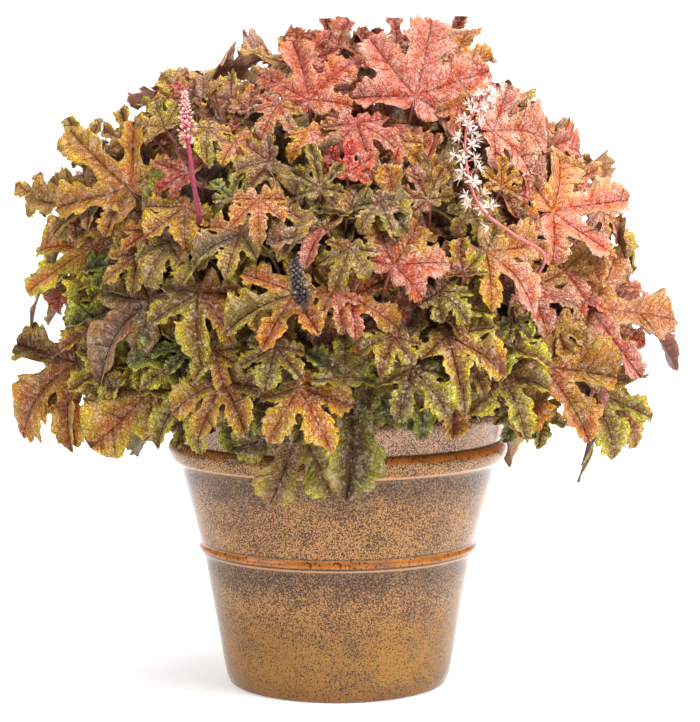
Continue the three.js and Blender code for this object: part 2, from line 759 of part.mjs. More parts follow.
function bladeSolid(leaf, grow) {
  const half = BLADE_HALF_THICKNESS + grow;
  const upper = bladePoints(leaf, half, grow);
  const lower = bladePoints(leaf, -half, grow);
  const count = upper.length;
  const positions = [];
  upper.concat(lower).forEach((point) => positions.push(point.x, point.y, point.z));
  const faces = [];
  for (let i = 1; i < count; i += 1) {
    const next = i < count - 1 ? i + 1 : 1;
    faces.push(0, i, next);
    faces.push(count, count + next, count + i);
    faces.push(i, count + i, next);
    faces.push(next, count + i, count + next);
  }
  const geometry = new THREE.BufferGeometry();
  geometry.setAttribute("position", new THREE.Float32BufferAttribute(positions, 3));
  geometry.setIndex(faces);
  return solidFrom(geometry);
}

function petioleSolid(curve, grow) {
  return tube(curve, PETIOLE_RADIUS + grow, 3, PETIOLE_STEPS);
}

function overlapBoxes(a, b) {
  const boxA = a.boundingBox();
  const boxB = b.boundingBox();
  return [0, 1, 2].every((i) => boxA.min[i] <= boxB.max[i] && boxB.min[i] <= boxA.max[i]);
}

function potEnvelope() {
  const points = [
    new THREE.Vector2(0, -2),
    new THREE.Vector2(envelopeRadius(-2), -2),
    new THREE.Vector2(envelopeRadius(ENVELOPE_SHOULDER - 0.1), ENVELOPE_SHOULDER - 0.1),
    new THREE.Vector2(ENVELOPE_RADIUS, ENVELOPE_SHOULDER + 3),
    new THREE.Vector2(ENVELOPE_RADIUS, ENVELOPE_TOP),
    new THREE.Vector2(0, ENVELOPE_TOP),
  ];
  return turned(points, 32);
}

// Flower spikes: stalks through points seen in the photograph, with buds or star florets

function spikeCurve(spike) {
  const foot = vector(spike.foot[0], spike.foot[1], STEM_FOOT);
  const points = [foot, foot.clone().setZ(SOIL_TOP + 16)];
  spike.route.forEach(([column, row, ahead]) => points.push(seenPoint(column, row, ahead)));
  return new THREE.CatmullRomCurve3(points, false, "centripetal");
}

// A star floret: five pointed petals whose tube springs from the stalk's middle
function starSolid(root, center, face, size, grow) {
  const side = vector(0, 0, 1).cross(face).normalize();
  const up = face.clone().cross(side);
  const corners = [center.clone().addScaledVector(face, STAR_DEPTH + grow), root];
  for (let i = 0; i < STAR_POINTS; i += 1) {
    const angle = (2 * Math.PI * i) / STAR_POINTS;
    const reach = (i % 2 ? STAR_WAIST : 1) * size + grow;
    const point = center.clone().addScaledVector(face, i % 2 ? 0 : STAR_CUP * size);
    point.addScaledVector(side, reach * Math.sin(angle));
    corners.push(point.addScaledVector(up, reach * Math.cos(angle)));
  }
  const faces = [];
  for (let i = 0; i < STAR_POINTS; i += 1) {
    const here = 2 + i;
    const next = 2 + ((i + 1) % STAR_POINTS);
    faces.push(0, next, here, 1, here, next);
  }
  const geometry = new THREE.BufferGeometry().setFromPoints(corners);
  geometry.setIndex(faces);
  return solidFrom(geometry);
}

// A place on the straight pieces of a tube, and the direction of the piece there
function placeOnTube(curve, steps, share) {
  const points = curve.getSpacedPoints(steps);
  const piece = Math.min(steps - 1, Math.floor(share * steps));
  const along = points[piece + 1].clone().sub(points[piece]);
  const root = points[piece].clone().addScaledVector(along, share * steps - piece);
  return { root, along: along.normalize() };
}

function spikeSolid(spike, grow) {
  const curve = spikeCurve(spike);
  const solids = [tube(curve, spike.stalkRadius + grow, STALK_SIDES, spike.steps)];
  for (let i = 0; i < spike.count; i += 1) {
    const share = spike.from + ((1 - spike.from) * (i + 0.5)) / spike.count;
    const { root, along } = placeOnTube(curve, spike.steps, share);
    const first = along.clone().cross(vector(0, 1, 0.2)).normalize();
    const second = along.clone().cross(first);
    const angle = radians(GOLDEN_ANGLE * i);
    const out = first.multiplyScalar(Math.cos(angle)).addScaledVector(second, Math.sin(angle));
    const narrowing = 1 - SPIKE_TAPER * ((i + 0.5) / spike.count);
    const center = root.clone().addScaledVector(out, spike.spread * narrowing);
    if (spike.bloom === "bud") {
      const bud = new THREE.OctahedronGeometry(spike.size * narrowing + grow);
      bud.translate(center.x, center.y, center.z);
      solids.push(solidFrom(bud));
    } else {
      solids.push(starSolid(root, center, out, spike.size * narrowing, grow));
    }
  }
  return joined(solids);
}

// Assembly

function addMesh(group, name, solid, color, roughness) {
  const material = new THREE.MeshStandardMaterial({ color, roughness, metalness: 0 });
  const mesh = new THREE.Mesh(geometryFrom(solid), material);
  mesh.name = name;
  group.add(mesh);
}

function stemName(index) {
  return `leafy_stem_${String(index + 1).padStart(2, "0")}`;
}

// The petioles of all leaves, each from its stem, spaced along the stem's upper part
function routePetioles(leaves, stems) {
  stems.forEach((stem) => {
    stem.leaves = [];
    stem.stalks = stem.curve.getPoints(STALK_SAMPLES);
  });
  leaves.forEach((leaf) => {
    leaf.stem = stemFor(leaf.hub, stems);
    leaf.stem.leaves.push(leaf);
  });
  const spikePoints = SPIKES.flatMap((spike) => spikeCurve(spike).getPoints(120));
  stems.forEach((stem) => {
    stem.leaves.forEach((leaf, i) => {
      const share = 1 - (PETIOLE_SPAN * i) / stem.leaves.length;
      const others = stems.filter((other) => other !== stem).flatMap((other) => other.stalks);
      leaf.curve = petioleRoute(leaf, stem, share, others, spikePoints);
      stem.stalks = stem.stalks.concat(leaf.curve.getPoints(STALK_SAMPLES));
    });
  });
}

// What a leaf's blade is trimmed by: the pot, the spikes, earlier blades and foreign stalks
function trimmedBlade(leaf, index, leaves, keepOut) {
  let blade = bladeSolid(leaf, 0);
  keepOut.forEach((cutter) => {
    if (overlapBoxes(blade, cutter)) blade = blade.subtract(cutter);
  });
  leaves.forEach((other, place) => {
    if (other.stem === leaf.stem) return;
    if (other.hub.distanceTo(leaf.hub) < other.size + leaf.size + 4 && place < index) {
      if (overlapBoxes(blade, other.thickBlade)) blade = blade.subtract(other.thickBlade);
    }
    if (overlapBoxes(blade, other.thickPetiole)) blade = blade.subtract(other.thickPetiole);
  });
  return blade;
}

function build() {
  const group = new THREE.Group();
  const stems = stemAxes();
  const leaves = layLeaves();
  routePetioles(leaves, stems);
  const spikeFeet = SPIKES.map((spike) => ({
    place: vector(spike.foot[0], spike.foot[1], 0),
    radius: spike.stalkRadius,
  }));
  const stemFeet = stems.map((stem) => ({ place: stem.foot, radius: STEM_RADIUS }));

  addMesh(group, "pot", makePot(), POT_COLOR, POT_ROUGHNESS);
  addMesh(group, "soil", makeSoil(stemFeet.concat(spikeFeet)), SOIL_COLOR, SOIL_ROUGHNESS);
  SPIKES.forEach((spike) => {
    addMesh(group, spike.name, spikeSolid(spike, 0), spike.color, FLOWER_ROUGHNESS);
  });

  leaves.forEach((leaf) => {
    leaf.thickBlade = bladeSolid(leaf, BLADE_CLEARANCE);
    leaf.thickPetiole = petioleSolid(leaf.curve, PETIOLE_CLEARANCE);
  });
  stems.forEach((stem) => {
    stem.thick = tube(stem.curve, STEM_RADIUS + PETIOLE_CLEARANCE, STALK_SIDES, STEM_STEPS);
  });
  const spikeCutters = SPIKES.map((spike) => spikeSolid(spike, BLADE_CLEARANCE));
  const shared = spikeCutters.concat([potEnvelope()]);
  stems.forEach((stem, index) => {
    const foreign = stems.filter((other) => other !== stem).map((other) => other.thick);
    const solids = [tube(stem.curve, STEM_RADIUS, STALK_SIDES, STEM_STEPS)];
    stem.leaves.forEach((leaf) => {
      const keepOut = shared.concat(foreign);
      solids.push(petioleSolid(leaf.curve, 0));
      solids.push(trimmedBlade(leaf, leaves.indexOf(leaf), leaves, keepOut));
    });
    const color = TONES[stem.leaves[0].tone];
    addMesh(group, stemName(index), largestPiece(joined(solids)), color, LEAF_ROUGHNESS);
  });
  return group;
}

export default build();
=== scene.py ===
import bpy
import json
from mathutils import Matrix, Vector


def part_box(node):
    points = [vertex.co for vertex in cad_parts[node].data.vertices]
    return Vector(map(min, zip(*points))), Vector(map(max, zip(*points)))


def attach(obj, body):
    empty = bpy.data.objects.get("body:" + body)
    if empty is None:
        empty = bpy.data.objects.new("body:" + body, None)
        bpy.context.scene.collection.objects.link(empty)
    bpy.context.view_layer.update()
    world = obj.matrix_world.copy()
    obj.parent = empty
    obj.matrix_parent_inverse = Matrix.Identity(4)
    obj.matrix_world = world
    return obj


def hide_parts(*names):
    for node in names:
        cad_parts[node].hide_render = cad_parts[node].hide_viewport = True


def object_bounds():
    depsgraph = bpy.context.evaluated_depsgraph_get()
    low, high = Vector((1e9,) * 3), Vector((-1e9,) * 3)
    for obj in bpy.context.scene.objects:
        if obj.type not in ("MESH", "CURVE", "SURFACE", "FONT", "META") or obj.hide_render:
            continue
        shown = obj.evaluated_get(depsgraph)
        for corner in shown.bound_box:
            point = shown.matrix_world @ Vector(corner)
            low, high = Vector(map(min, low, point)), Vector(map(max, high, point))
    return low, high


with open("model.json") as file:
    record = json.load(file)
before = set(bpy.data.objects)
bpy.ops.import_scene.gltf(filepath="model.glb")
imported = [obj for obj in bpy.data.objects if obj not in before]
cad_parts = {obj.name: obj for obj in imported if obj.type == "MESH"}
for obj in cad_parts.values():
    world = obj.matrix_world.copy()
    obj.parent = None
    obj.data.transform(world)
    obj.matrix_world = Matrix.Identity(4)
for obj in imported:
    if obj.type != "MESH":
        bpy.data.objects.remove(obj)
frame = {"record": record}
CAD_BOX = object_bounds()

import copy
import json
import math

import bpy
import numpy as np
from bpy.props import FloatProperty, FloatVectorProperty, PointerProperty
from mathutils import Vector

bl_info = {
    "name": "Potted heucherella",
    "version": (1, 0, 0),
    "blender": (4, 5, 0),
    "location": "3D View > Sidebar > Potted plant",
    "description": "A heucherella with lobed leaves and flower spikes in a glazed pot",
    "category": "Object",
}

MM = 0.001

# Leaf plan, shared with the solids: lobe reaches, depth of the cuts, breadth of the lobes
LEAF_KINDS = {
    "palm": ((0.66, 0.88, 1, 0.88, 0.66), 0.44, 0.235, 0.72),
    "long": ((0.5, 0.74, 1, 0.74, 0.5), 0.36, 0.2, 0.7),
    "round": ((0.4, 0.62, 1, 0.62, 0.4), 0.52, 0.3, 0.7),
}
LOBE_STEP = 50
LEAF_BACK_ANGLE = 128
LEAF_BACK_REACH = 0.34
LARGE_LEAF = 44
MEDIUM_LEAF = 34
LEAF_LOBES = (-2, -1, 0, 1, 2)
LOBE_ANGLES = [LOBE_STEP * lobe for lobe in LEAF_LOBES]

# Colours of each tone of leaf: round the veins, between them, and along the margin
TONES = {
    "coral": ("98403a", "dc988e", "f0c0b2"),
    "red": ("7c0d11", "c0362d", "d65f47"),
    "scarlet": ("882a22", "cc665a", "e09078"),
    "peach": ("94503a", "d4966e", "e8bc84"),
    "rust": ("6a2010", "b4601e", "d68e1c"),
    "amber": ("74220e", "ba7a0e", "e6ae0e"),
    "tan": ("663c32", "a67c4c", "cca436"),
    "bronze": ("5e342a", "8c6c2a", "bc9414"),
    "olive": ("50221c", "6e680e", "b8b00c"),
    "lime": ("6a1a1a", "9ea01a", "f0e620"),
    "green": ("362018", "48680e", "90a012"),
    "plum": ("43312f", "896d5f", "a58465"),
    "maroon": ("341212", "6e3125", "975e36"),
}

# For each tone: the least strength of its dark heart, and the tones that its lobes may turn to
COMPANIONS = {
    "coral": (0.0, ("peach", "amber", "red", "coral")),
    "red": (0.1, ("coral", "maroon")),
    "scarlet": (0.1, ("coral", "red")),
    "peach": (0.1, ("coral", "amber", "tan")),
    "rust": (0.3, ("amber", "coral", "olive")),
    "amber": (0.4, ("coral", "olive", "lime", "rust")),
    "tan": (0.3, ("coral", "olive", "bronze", "amber")),
    "bronze": (0.4, ("amber", "olive", "plum", "tan")),
    "olive": (0.6, ("amber", "lime", "tan", "green")),
    "lime": (0.65, ("olive", "amber", "rust", "lime")),
    "green": (0.5, ("olive", "lime")),
    "plum": (0.3, ("bronze", "maroon")),
    "maroon": (0.5, ("rust", "bronze")),
}


def leaf_rows(text):
    """A table of leaves from text: seven numbers, the tone, and the kind where it isn't palm."""
    rows = (line.split() for line in text.strip().splitlines())
    return [(*map(int, row[:7]), *row[7:], "palm")[:9] for row in rows]


# The large leaves that the photograph shows. Each line: column and row of the hub, length of the
# middle lobe, the way it points in the picture, turn and rise of its face, how much deeper than
# the mound's surface, tone, kind.
FRONT_LEAVES = leaf_rows("""
415 96 58 75 5 20 0 coral
309 99 43 100 -8 12 0 scarlet
492 130 38 12 15 22 0 coral
552 210 51 14 18 15 0 coral
590 307 62 -4 18 22 -10 coral
394 264 38 58 4 22 -6 amber
199 291 40 -100 -5 32 0 olive
543 366 54 -50 12 24 0 rust
130 188 66 140 -18 22 0 bronze long
93 245 50 -146 -16 25 0 amber
76 361 56 -150 -18 24 0 olive
348 382 66 -80 2 14 22 olive long
299 428 50 -108 -4 6 24 lime
222 380 38 -112 -6 26 0 olive
295 292 43 193 -4 30 -4 amber
349 294 38 22 4 18 4 rust
486 250 40 -32 8 26 0 peach
412 367 37 -45 3 34 0 lime
500 371 39 -62 8 30 4 lime
592 388 48 -25 18 26 14 lime
105 190 50 176 -24 20 10 bronze
322 226 37 152 -4 30 0 tan
242 232 33 200 -8 38 4 tan
299 386 36 -62 -2 28 6 amber
336 56 32 84 2 26 6 scarlet
294 64 43 162 -14 34 22 peach long
452 62 36 66 10 24 18 coral
357 122 33 -72 4 36 2 scarlet
540 148 38 -72 14 12 6 coral
545 141 31 14 26 26 12 red
565 268 35 42 18 22 4 coral
530 286 34 -20 10 34 4 coral
150 298 54 -143 -12 22 4 plum round
158 290 36 176 -14 34 12 plum round
150 388 51 -133 -10 20 4 amber round
74 372 48 -88 -14 20 10 amber long
120 358 37 -156 -12 34 4 olive
190 388 36 -138 -6 24 6 lime
100 212 52 178 -20 44 2 tan long
130 170 42 96 -42 12 18 olive long
202 98 35 148 -18 30 16 tan
447 338 37 -26 6 40 8 lime
450 383 33 -74 4 14 18 lime
345 376 31 92 2 14 12 green
381 122 35 -36 6 30 16 coral
497 204 31 74 6 8 10 red
478 232 39 136 2 22 12 tan long
500 318 40 184 4 46 14 maroon
125 302 40 -152 -12 26 22 green
228 398 32 -90 -2 10 30 green long
500 338 33 -30 8 36 8 lime
378 315 33 -64 4 18 14 red
315 182 35 166 -2 44 16 maroon
180 362 31 176 -6 32 12 green
118 372 31 -130 -10 22 16 bronze
""")

# Smaller leaves between them, in the same terms
SMALL_LEAVES = leaf_rows("""
348 213 30 78 3 16 6 tan
185 205 30 -142 -8 36 4 tan
467 307 28 95 4 12 2 amber
188 172 27 146 -10 24 2 red
262 122 29 190 -8 34 10 tan
612 335 30 -46 16 18 12 coral
150 212 29 -150 -12 28 8 peach
330 90 30 -40 4 20 14 coral
572 285 30 20 18 22 9 coral
462 276 22 100 4 24 8 lime
422 398 22 -85 2 14 12 green
515 410 22 -50 6 14 12 green
148 172 28 100 -20 20 26 amber
112 215 34 170 -20 34 6 maroon
100 222 24 -170 -18 30 4 peach
150 230 24 -95 -12 30 4 amber
88 285 26 -125 -16 22 9 olive long
118 262 24 170 -14 30 14 green
108 275 22 -160 -14 30 8 lime
140 362 18 -140 -8 24 2 lime
186 420 20 -65 -6 12 16 green
240 390 26 -85 -4 20 8 olive
160 138 16 95 -12 16 8 red round
226 128 24 130 -8 20 8 red round
190 98 18 175 -10 24 6 red
188 95 30 178 -14 30 10 tan long
232 100 24 150 -8 24 8 tan
250 110 20 85 -6 18 8 rust
270 98 18 130 -4 20 8 olive
235 142 24 -20 -4 26 6 peach
205 180 30 70 -8 20 14 maroon
280 160 28 95 -4 14 22 bronze round
270 160 26 -170 -6 30 8 tan
255 172 26 -90 -4 20 26 bronze
320 188 28 95 0 16 3 olive long
232 196 18 85 -6 16 6 green
398 200 26 110 4 18 10 bronze round
428 198 24 120 4 20 6 amber
430 178 18 20 6 20 8 rust
425 160 24 60 6 22 18 tan
440 150 28 80 6 20 26 olive
348 172 22 85 2 14 10 red
500 185 18 85 8 16 6 amber
440 322 26 110 4 26 20 olive
512 318 18 -40 8 24 2 lime
190 345 24 -170 -6 30 12 green
225 335 28 -60 -4 26 26 olive
312 280 26 85 -2 14 12 olive
335 292 26 -130 -2 26 6 tan
600 325 26 -60 14 20 14 peach
520 160 24 30 12 30 0 coral
505 112 22 50 12 24 4 coral
575 175 26 20 20 24 6 coral
596 212 25 -30 22 26 6 coral
580 245 28 -60 18 28 2 coral
520 232 24 -80 10 30 -2 coral
546 180 22 -110 12 34 0 red
622 285 24 60 22 20 10 coral
600 262 22 20 22 24 6 peach
560 320 26 -80 12 30 2 peach
470 205 22 -60 6 28 4 tan
458 108 24 -50 6 34 6 coral
400 140 22 -100 2 30 8 coral
310 130 24 -70 -2 34 6 coral
280 110 24 -120 -4 30 8 coral
372 60 24 100 2 24 10 red
305 60 26 60 -2 26 10 red
170 130 24 120 -16 20 14 tan
142 150 26 150 -20 20 16 tan
160 105 26 150 -18 24 22 bronze long
210 130 22 -100 -8 30 4 tan
170 240 26 -120 -10 32 0 tan
140 255 26 -140 -12 30 2 tan
260 205 24 -90 -4 34 2 peach
380 200 24 -70 2 34 0 tan
350 250 24 -110 0 34 0 tan
275 345 26 -100 -2 32 2 olive
440 290 24 -40 4 32 0 lime
395 335 24 -120 2 32 2 lime
465 360 26 -100 4 30 2 lime
540 405 24 -80 10 20 8 lime
620 405 26 -50 16 22 12 lime
255 300 22 -140 -4 34 2 amber
215 350 24 -80 -4 32 2 lime
95 325 26 -150 -14 28 4 lime
110 400 26 -110 -12 22 6 lime
60 280 22 -160 -20 24 10 coral
126 140 28 100 -14 6 4 tan long
92 150 30 118 -20 4 6 olive long
46 196 26 165 -24 6 2 bronze long
262 62 26 120 -4 4 4 peach long
330 44 24 96 0 0 0 scarlet long
396 46 26 88 2 0 0 coral long
446 48 26 70 6 0 4 coral long
""")

# Half of a lobe's outline, as shares of the lobe's length along and across it: three teeth, each
# with its notch, and the tip. The plain one is for leaves deep inside the plant.
LOBE_SIDE = (
    (0.455, 0.15), (0.52, 0.156), (0.57, 0.18), (0.612, 0.222), (0.652, 0.254), (0.688, 0.268),
    (0.696, 0.248), (0.7, 0.224), (0.735, 0.236), (0.782, 0.256), (0.828, 0.26), (0.856, 0.246),
    (0.858, 0.216), (0.862, 0.188), (0.892, 0.194), (0.93, 0.188), (0.957, 0.162), (0.955, 0.132),
    (0.958, 0.102), (0.978, 0.09), (0.994, 0.06), (1.0, 0.026),
)
PLAIN_SIDE = (
    (0.5, 0.16), (0.6, 0.21), (0.69, 0.264), (0.7, 0.224), (0.84, 0.255), (0.86, 0.19),
    (0.955, 0.165), (0.985, 0.07),
)
BACK_EDGE = ((0.055, 0.14), (0.13, 0.215), (0.225, 0.225), (0.3, 0.175))
SIDE_VEIN_SLANT = 0.7
SIDE_VEIN_GAP = 0.13
SINUS_SHARES = (0.25, 0.5, 0.75, 1)
VISUAL_CUT = {"palm": 1.0, "long": 0.85, "round": 0.75}
VISUAL_BREADTH = {"palm": 1.0, "long": 0.9, "round": 0.94}

# For some leaves, by the place of the hub: how shallow the cuts are, how broad the lobes, and how
# much the face turns up
LOOKS = {
    (394, 264): (1.5, 1.1, 0.8), (590, 307): (0.84, 0.78, 0.5), (415, 96): (1.1, 1.0, 0.1),
    (309, 99): (0.95, 0.95, 0.3), (336, 56): (0.9, 0.9, 0.0), (130, 188): (1.05, 1.0, 0.1),
    (295, 292): (0.85, 0.84, 1), (199, 291): (1.05, 0.96, 1), (349, 294): (0.86, 0.84, 1),
    (348, 382): (1.3, 1.15, 1), (105, 190): (0.9, 0.9, 0.2),
}

# Tones of single lobes for some leaves, clockwise to anticlockwise as the photograph shows them
LOBE_TONES = {
    (394, 264): ("coral", "coral", "amber", "rust", "coral"),
    (349, 294): ("coral", "peach", "rust", "amber", "amber"),
    (295, 292): ("olive", "peach", "olive", "amber", "amber"),
    (348, 382): ("green", "lime", "olive", "green", "lime"),
    (299, 428): ("lime", "olive", "tan", "lime", "olive"),
    (322, 226): ("tan", "olive", "tan", "plum", "coral"),
    (242, 232): ("tan", "peach", "plum", "tan", "tan"),
    (486, 250): ("peach", "amber", "coral", "peach", "tan"),
    (93, 245): ("tan", "amber", "amber", "olive", "coral"),
    (592, 388): ("lime", "lime", "lime", "amber", "lime"),
    (590, 307): ("peach", "coral", "peach", "peach", "coral"),
    (415, 96): ("coral", "coral", "coral", "coral", "coral"),
}

# Places across the picture, and how much the colours of the leaves are lightened or darkened there,
# as painted light and shade
PAINTED_LIGHT_BY_PLACE = ((-200, -120, 0, 120, 200), (1.9, 1.45, 0.93, 0.98, 1.14))

# Gaps in the outline of the foliage, as left, top, right and bottom in the photograph
GAPS = ((215, 50, 275, 85), (55, 290, 95, 325), (600, 205, 640, 260))

# For each grade of leaf: outline of half a lobe, where the top and under faces have points
# between midrib and edge, rings and sides of the petiole
GRADES = {
    "large": (LOBE_SIDE, (0, 0.22, 0.5, 0.78, 1), (0, 0.5, 1), 14, 7),
    "small": (LOBE_SIDE, (0, 0.3, 0.65, 1), (0, 0.55, 1), 12, 6),
    "behind": (LOBE_SIDE, (0, 0.5, 1), (0, 1), 8, 5),
    "deep": (PLAIN_SIDE, (0, 0.5, 1), (0, 1), 6, 5),
}

# How far a hanging leaf's face is turned up, in degrees
RISE_MORE = 16
NOMINAL_WIDTH = 0.235
LOWEST_INNER_TIP = 176
LOWEST_CORNER = np.array(CAD_BOX[0]) / MM
HIGHEST_CORNER = np.array(CAD_BOX[1]) / MM

# Darker tones that the inner leaves take in place of the lighter ones, as painted shade inside the
# plant
PAINTED_SHADE_TONES = {
    "coral": "maroon", "peach": "bronze", "tan": "olive", "amber": "olive", "lime": "green",
    "rust": "maroon",
}

LAYOUT_SEED = 20127
SEED_STEP = 31
GOLDEN_ANGLE = 137.508

# Steps from a leaf's seed to the streams of its lobes, waves, sweep, colours, heart and look
LOBES_STREAM, WAVES_STREAM, SWEEP_STREAM, COLORS_STREAM, HEART_STREAM, LOOK_STREAM = (
    5, 11, 17, 23, 29, 37
)
SOIL_SEED, INNER_STALKS_SEED, BUDS_SEED, FLORETS_SEED, SMALL_LEAVES_SEED = (
    LAYOUT_SEED + step for step in (7, 55, 71, 83, 4001)
)

# Layers of leaves that one rule lays on the mound, or on a smaller one inside it: number of tries,
# least spacing, lowest angle, smallest and largest leaf, seeds, and the share of the mound's size
FILLER_LAYER = (150, 44, -24, (43, 60), (LAYOUT_SEED, LAYOUT_SEED + 977), 1)
BEHIND_LAYER = (420, 27, -20, (26, 38), (LAYOUT_SEED + 2, LAYOUT_SEED + 6007), 0.96)
INNER_LAYERS = (
    (420, 31, -18, (38, 54), (LAYOUT_SEED + 3, LAYOUT_SEED + 9001), 0.82),
    (220, 36, -14, (44, 60), (LAYOUT_SEED + 4, LAYOUT_SEED + 12007), 0.6),
    (90, 36, -4, (50, 64), (LAYOUT_SEED + 6, LAYOUT_SEED + 15013), 0.38),
)
FOREMOST_BEHIND = -60


# Numbers and vectors

def random_stream(seed):
    """Repeatable numbers from 0 to 1, the same as in the solids."""
    state = seed % 4294967296
    while True:
        state = (state * 1664525 + 1013904223) % 4294967296
        yield state / 4294967296


def vec(x, y, z):
    return np.array((x, y, z), float)


def unit(v):
    return v / np.linalg.norm(v)


def turned(first, second, angle):
    return first * math.cos(angle) + second * math.sin(angle)


def on_circle(radius, degrees, z=0.0):
    angle = math.radians(degrees)
    return vec(radius * math.cos(angle), radius * math.sin(angle), z)


def linear_color(text):
    """A hex colour as linear red, green and blue."""
    values = [int(text[i:i + 2], 16) / 255 for i in (0, 2, 4)]
    return np.array([v / 12.92 if v < 0.04045 else ((v + 0.055) / 1.055) ** 2.4 for v in values])


# Settings

def color_property(name, description, text):
    return FloatVectorProperty(
        name=name, description=description, subtype="COLOR", size=3, min=0, max=1,
        default=tuple(linear_color(text)),
    )


def length_property(name, description, value):
    return FloatProperty(
        name=name, description=description, default=value * MM, unit="LENGTH", subtype="DISTANCE",
        precision=5,
    )


POT_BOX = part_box("pot")


class PotSettings(bpy.types.PropertyGroup):
    """Sizes and glaze colours of the pot"""

    height: FloatProperty(
        name="Height", description="Height of the pot", unit="LENGTH", default=POT_BOX[1][2]
    )
    base_radius: length_property("Base radius", "Radius of the foot", 72.5)
    lip_radius: length_property("Lip radius", "Radius of the rolled lip", 111.6)
    wall: length_property("Wall", "Thickness of the wall", 6)
    floor: length_property("Floor", "Thickness of the floor", 8)
    ridge_height: length_property("Ridge height", "Height of the low ridge", 91)
    ridge_radius: length_property("Ridge radius", "Radius of the low ridge", 91.6)
    bead_height: length_property("Bead height", "Height of the round bead", 155)
    bead_radius: length_property("Bead radius", "Radius of the round bead", 111)
    drain_radius: length_property("Drain hole radius", "Radius of each drain hole", 6)
    ground: color_property("Upper glaze", "Ground of the upper wall", "aa7a46")
    lower: color_property("Lower glaze", "Ochre ground of the lower wall", "92662a")
    foot: color_property("Foot glaze", "Plain amber at the foot", "8a5a26")
    grey: color_property("Grey glaze", "Greyish bands under the bead and the ridge", "665040")
    edge_line: color_property("Edge lines", "Pale lines where the glaze is thin", "c99a6e")
    collar: color_property("Collar", "Pinkish ground of the collar", "bc9882")
    speck: color_property("Specks", "Fine dark specks", "341f14")
    amber: color_property("Amber glaze", "Thin glaze over the bead and the ridge", "b26c2c")


class LeafSettings(bpy.types.PropertyGroup):
    """Sizes and colours that all leaves share"""

    thickness: length_property("Blade thickness", "Thickness of a leaf blade", 0.6)
    ruffle: FloatProperty(
        name="Ruffle", description="Waves of the margin, as a share of the leaf's size",
        default=0.022, min=0, max=0.1,
    )
    petiole_radius: length_property("Petiole radius", "Radius of a leaf stalk", 1.25)
    stem_radius: length_property("Stem radius", "Radius of a leafy stem at the soil", 2.8)
    petiole: color_property("Petiole", "Pink-red of the leaf stalks", "a2545a")
    petiole_green: color_property("Petiole base", "Olive of the stalks near the soil", "7c6a3c")
    under: color_property("Underside", "Pale mauve cast of the undersides", "c8a08c")
    # Painted glints: a pale colour painted onto raised parts of the blade in place of highlights
    painted_glint: color_property("Flecks", "Pale glints on the raised parts of the blade", "e2c6b0")
    patch: color_property("Green patches", "Green cast in patches of the blades", "6a8c16")


class ToneSettings(bpy.types.PropertyGroup):
    """Three colours for each tone of leaf"""


for tone, texts in TONES.items():
    for part, text in zip(("vein", "blade", "margin"), texts):
        ToneSettings.__annotations__[f"{tone}_{part}"] = color_property(
            f"{tone} {part}".capitalize(), f"Colour of the {part} of {tone} leaves", text
        )


class FlowerSettings(bpy.types.PropertyGroup):
    """Sizes and colours of the flower spikes"""

    bud_size: length_property("Bud size", "Reach of a pink bud from its stalk", 7.6)
    dark_bud_size: length_property("Dark bud size", "Reach of a dark bud from its stalk", 6.6)
    star_size: length_property("Floret size", "Reach of a star floret's petal", 6)
    magenta: color_property("Magenta stalk", "Stalk of the budding spike", "96364e")
    stalk: color_property("Pink stalk", "Stalk of the flowering spike", "bb6a66")
    bud: color_property("Buds", "Pink buds", "dc9492")
    bud_tip: color_property("Bud tips", "Cream tips of the pink buds", "f6dccb")
    petal: color_property("Petals", "White petals", "ead9cd")
    anther: color_property("Anthers", "Tips of the stamens", "d98a5a")
    dark: color_property("Dark buds", "Buds of the short spike", "46383a")
    # Pale tips of the upper dark buds: partly their own colour, partly a painted highlight on the
    # top of the spike
    dark_tip: color_property("Dark bud tips", "Tips of the dark buds", "706e60")


class StageSettings(bpy.types.PropertyGroup):
    """Camera, floor and lights"""

    eye: FloatVectorProperty(
        name="Camera place", description="Where the camera stands", subtype="TRANSLATION",
        unit="LENGTH", size=3, default=(0.008, -1.5, 0.35),
    )
    pitch: FloatProperty(
        name="Camera pitch", description="How far the camera looks down", unit="ROTATION",
        default=math.radians(5.3),
    )
    lens: FloatProperty(name="Lens", description="Focal length in millimetres", default=114.9)
    floor: color_property("Floor", "Pale floor and backdrop", "f0f0f0")
    key: FloatProperty(name="Key light", description="Power of the overhead softbox", default=55)
    fill: FloatProperty(name="Front light", description="Power of the low front softbox", default=9)
    rim: FloatProperty(
        name="Side panels", description="Power of the raised side panels", default=15
    )
    sky: FloatProperty(name="Surround", description="Strength of the white surround", default=0.1)
    glow: FloatProperty(
        name="Floor glow", description="Light that the floor itself gives", default=0.33
    )


# Layout of the leaves, by the same rule as the solids

EYE = vec(8, -1500, 350)
MM_PER_PIXEL = 0.65
AXIS_COLUMN = 338
TOP_ROW_HEIGHT = 444.5
MOUND_HEIGHT = 225
MOUND_REACH = 172
MOUND_RISE = 190
MOUND_DROP = 110
MOUND_POWER = 2.5
CROWN = vec(0, 0, 190)
UP = vec(0, 0, 1)
CLEARING_SHIFTS = (0, 4, -4, 8, -8, 12, -12)
CLEARING_TILTS = (0, 12, -12, 24)
POT_PENALTY = 5
HANGING_BELOW = 372
GAP_AROUND_HUB = 0.11
ENVELOPE_TOP = 185
ENVELOPE_SHOULDER = 140
ENVELOPE_RADIUS = 113.5
POT_BASE_RADIUS = 72.5
BEAD_RADIUS = 111


def axis_plane_point(column, row):
    x = (column - AXIS_COLUMN) * MM_PER_PIXEL
    return vec(x, 0, TOP_ROW_HEIGHT - row * MM_PER_PIXEL)


def seen_point(column, row, ahead):
    return EYE + (axis_plane_point(column, row) - EYE) * (1 - ahead / -EYE[1])


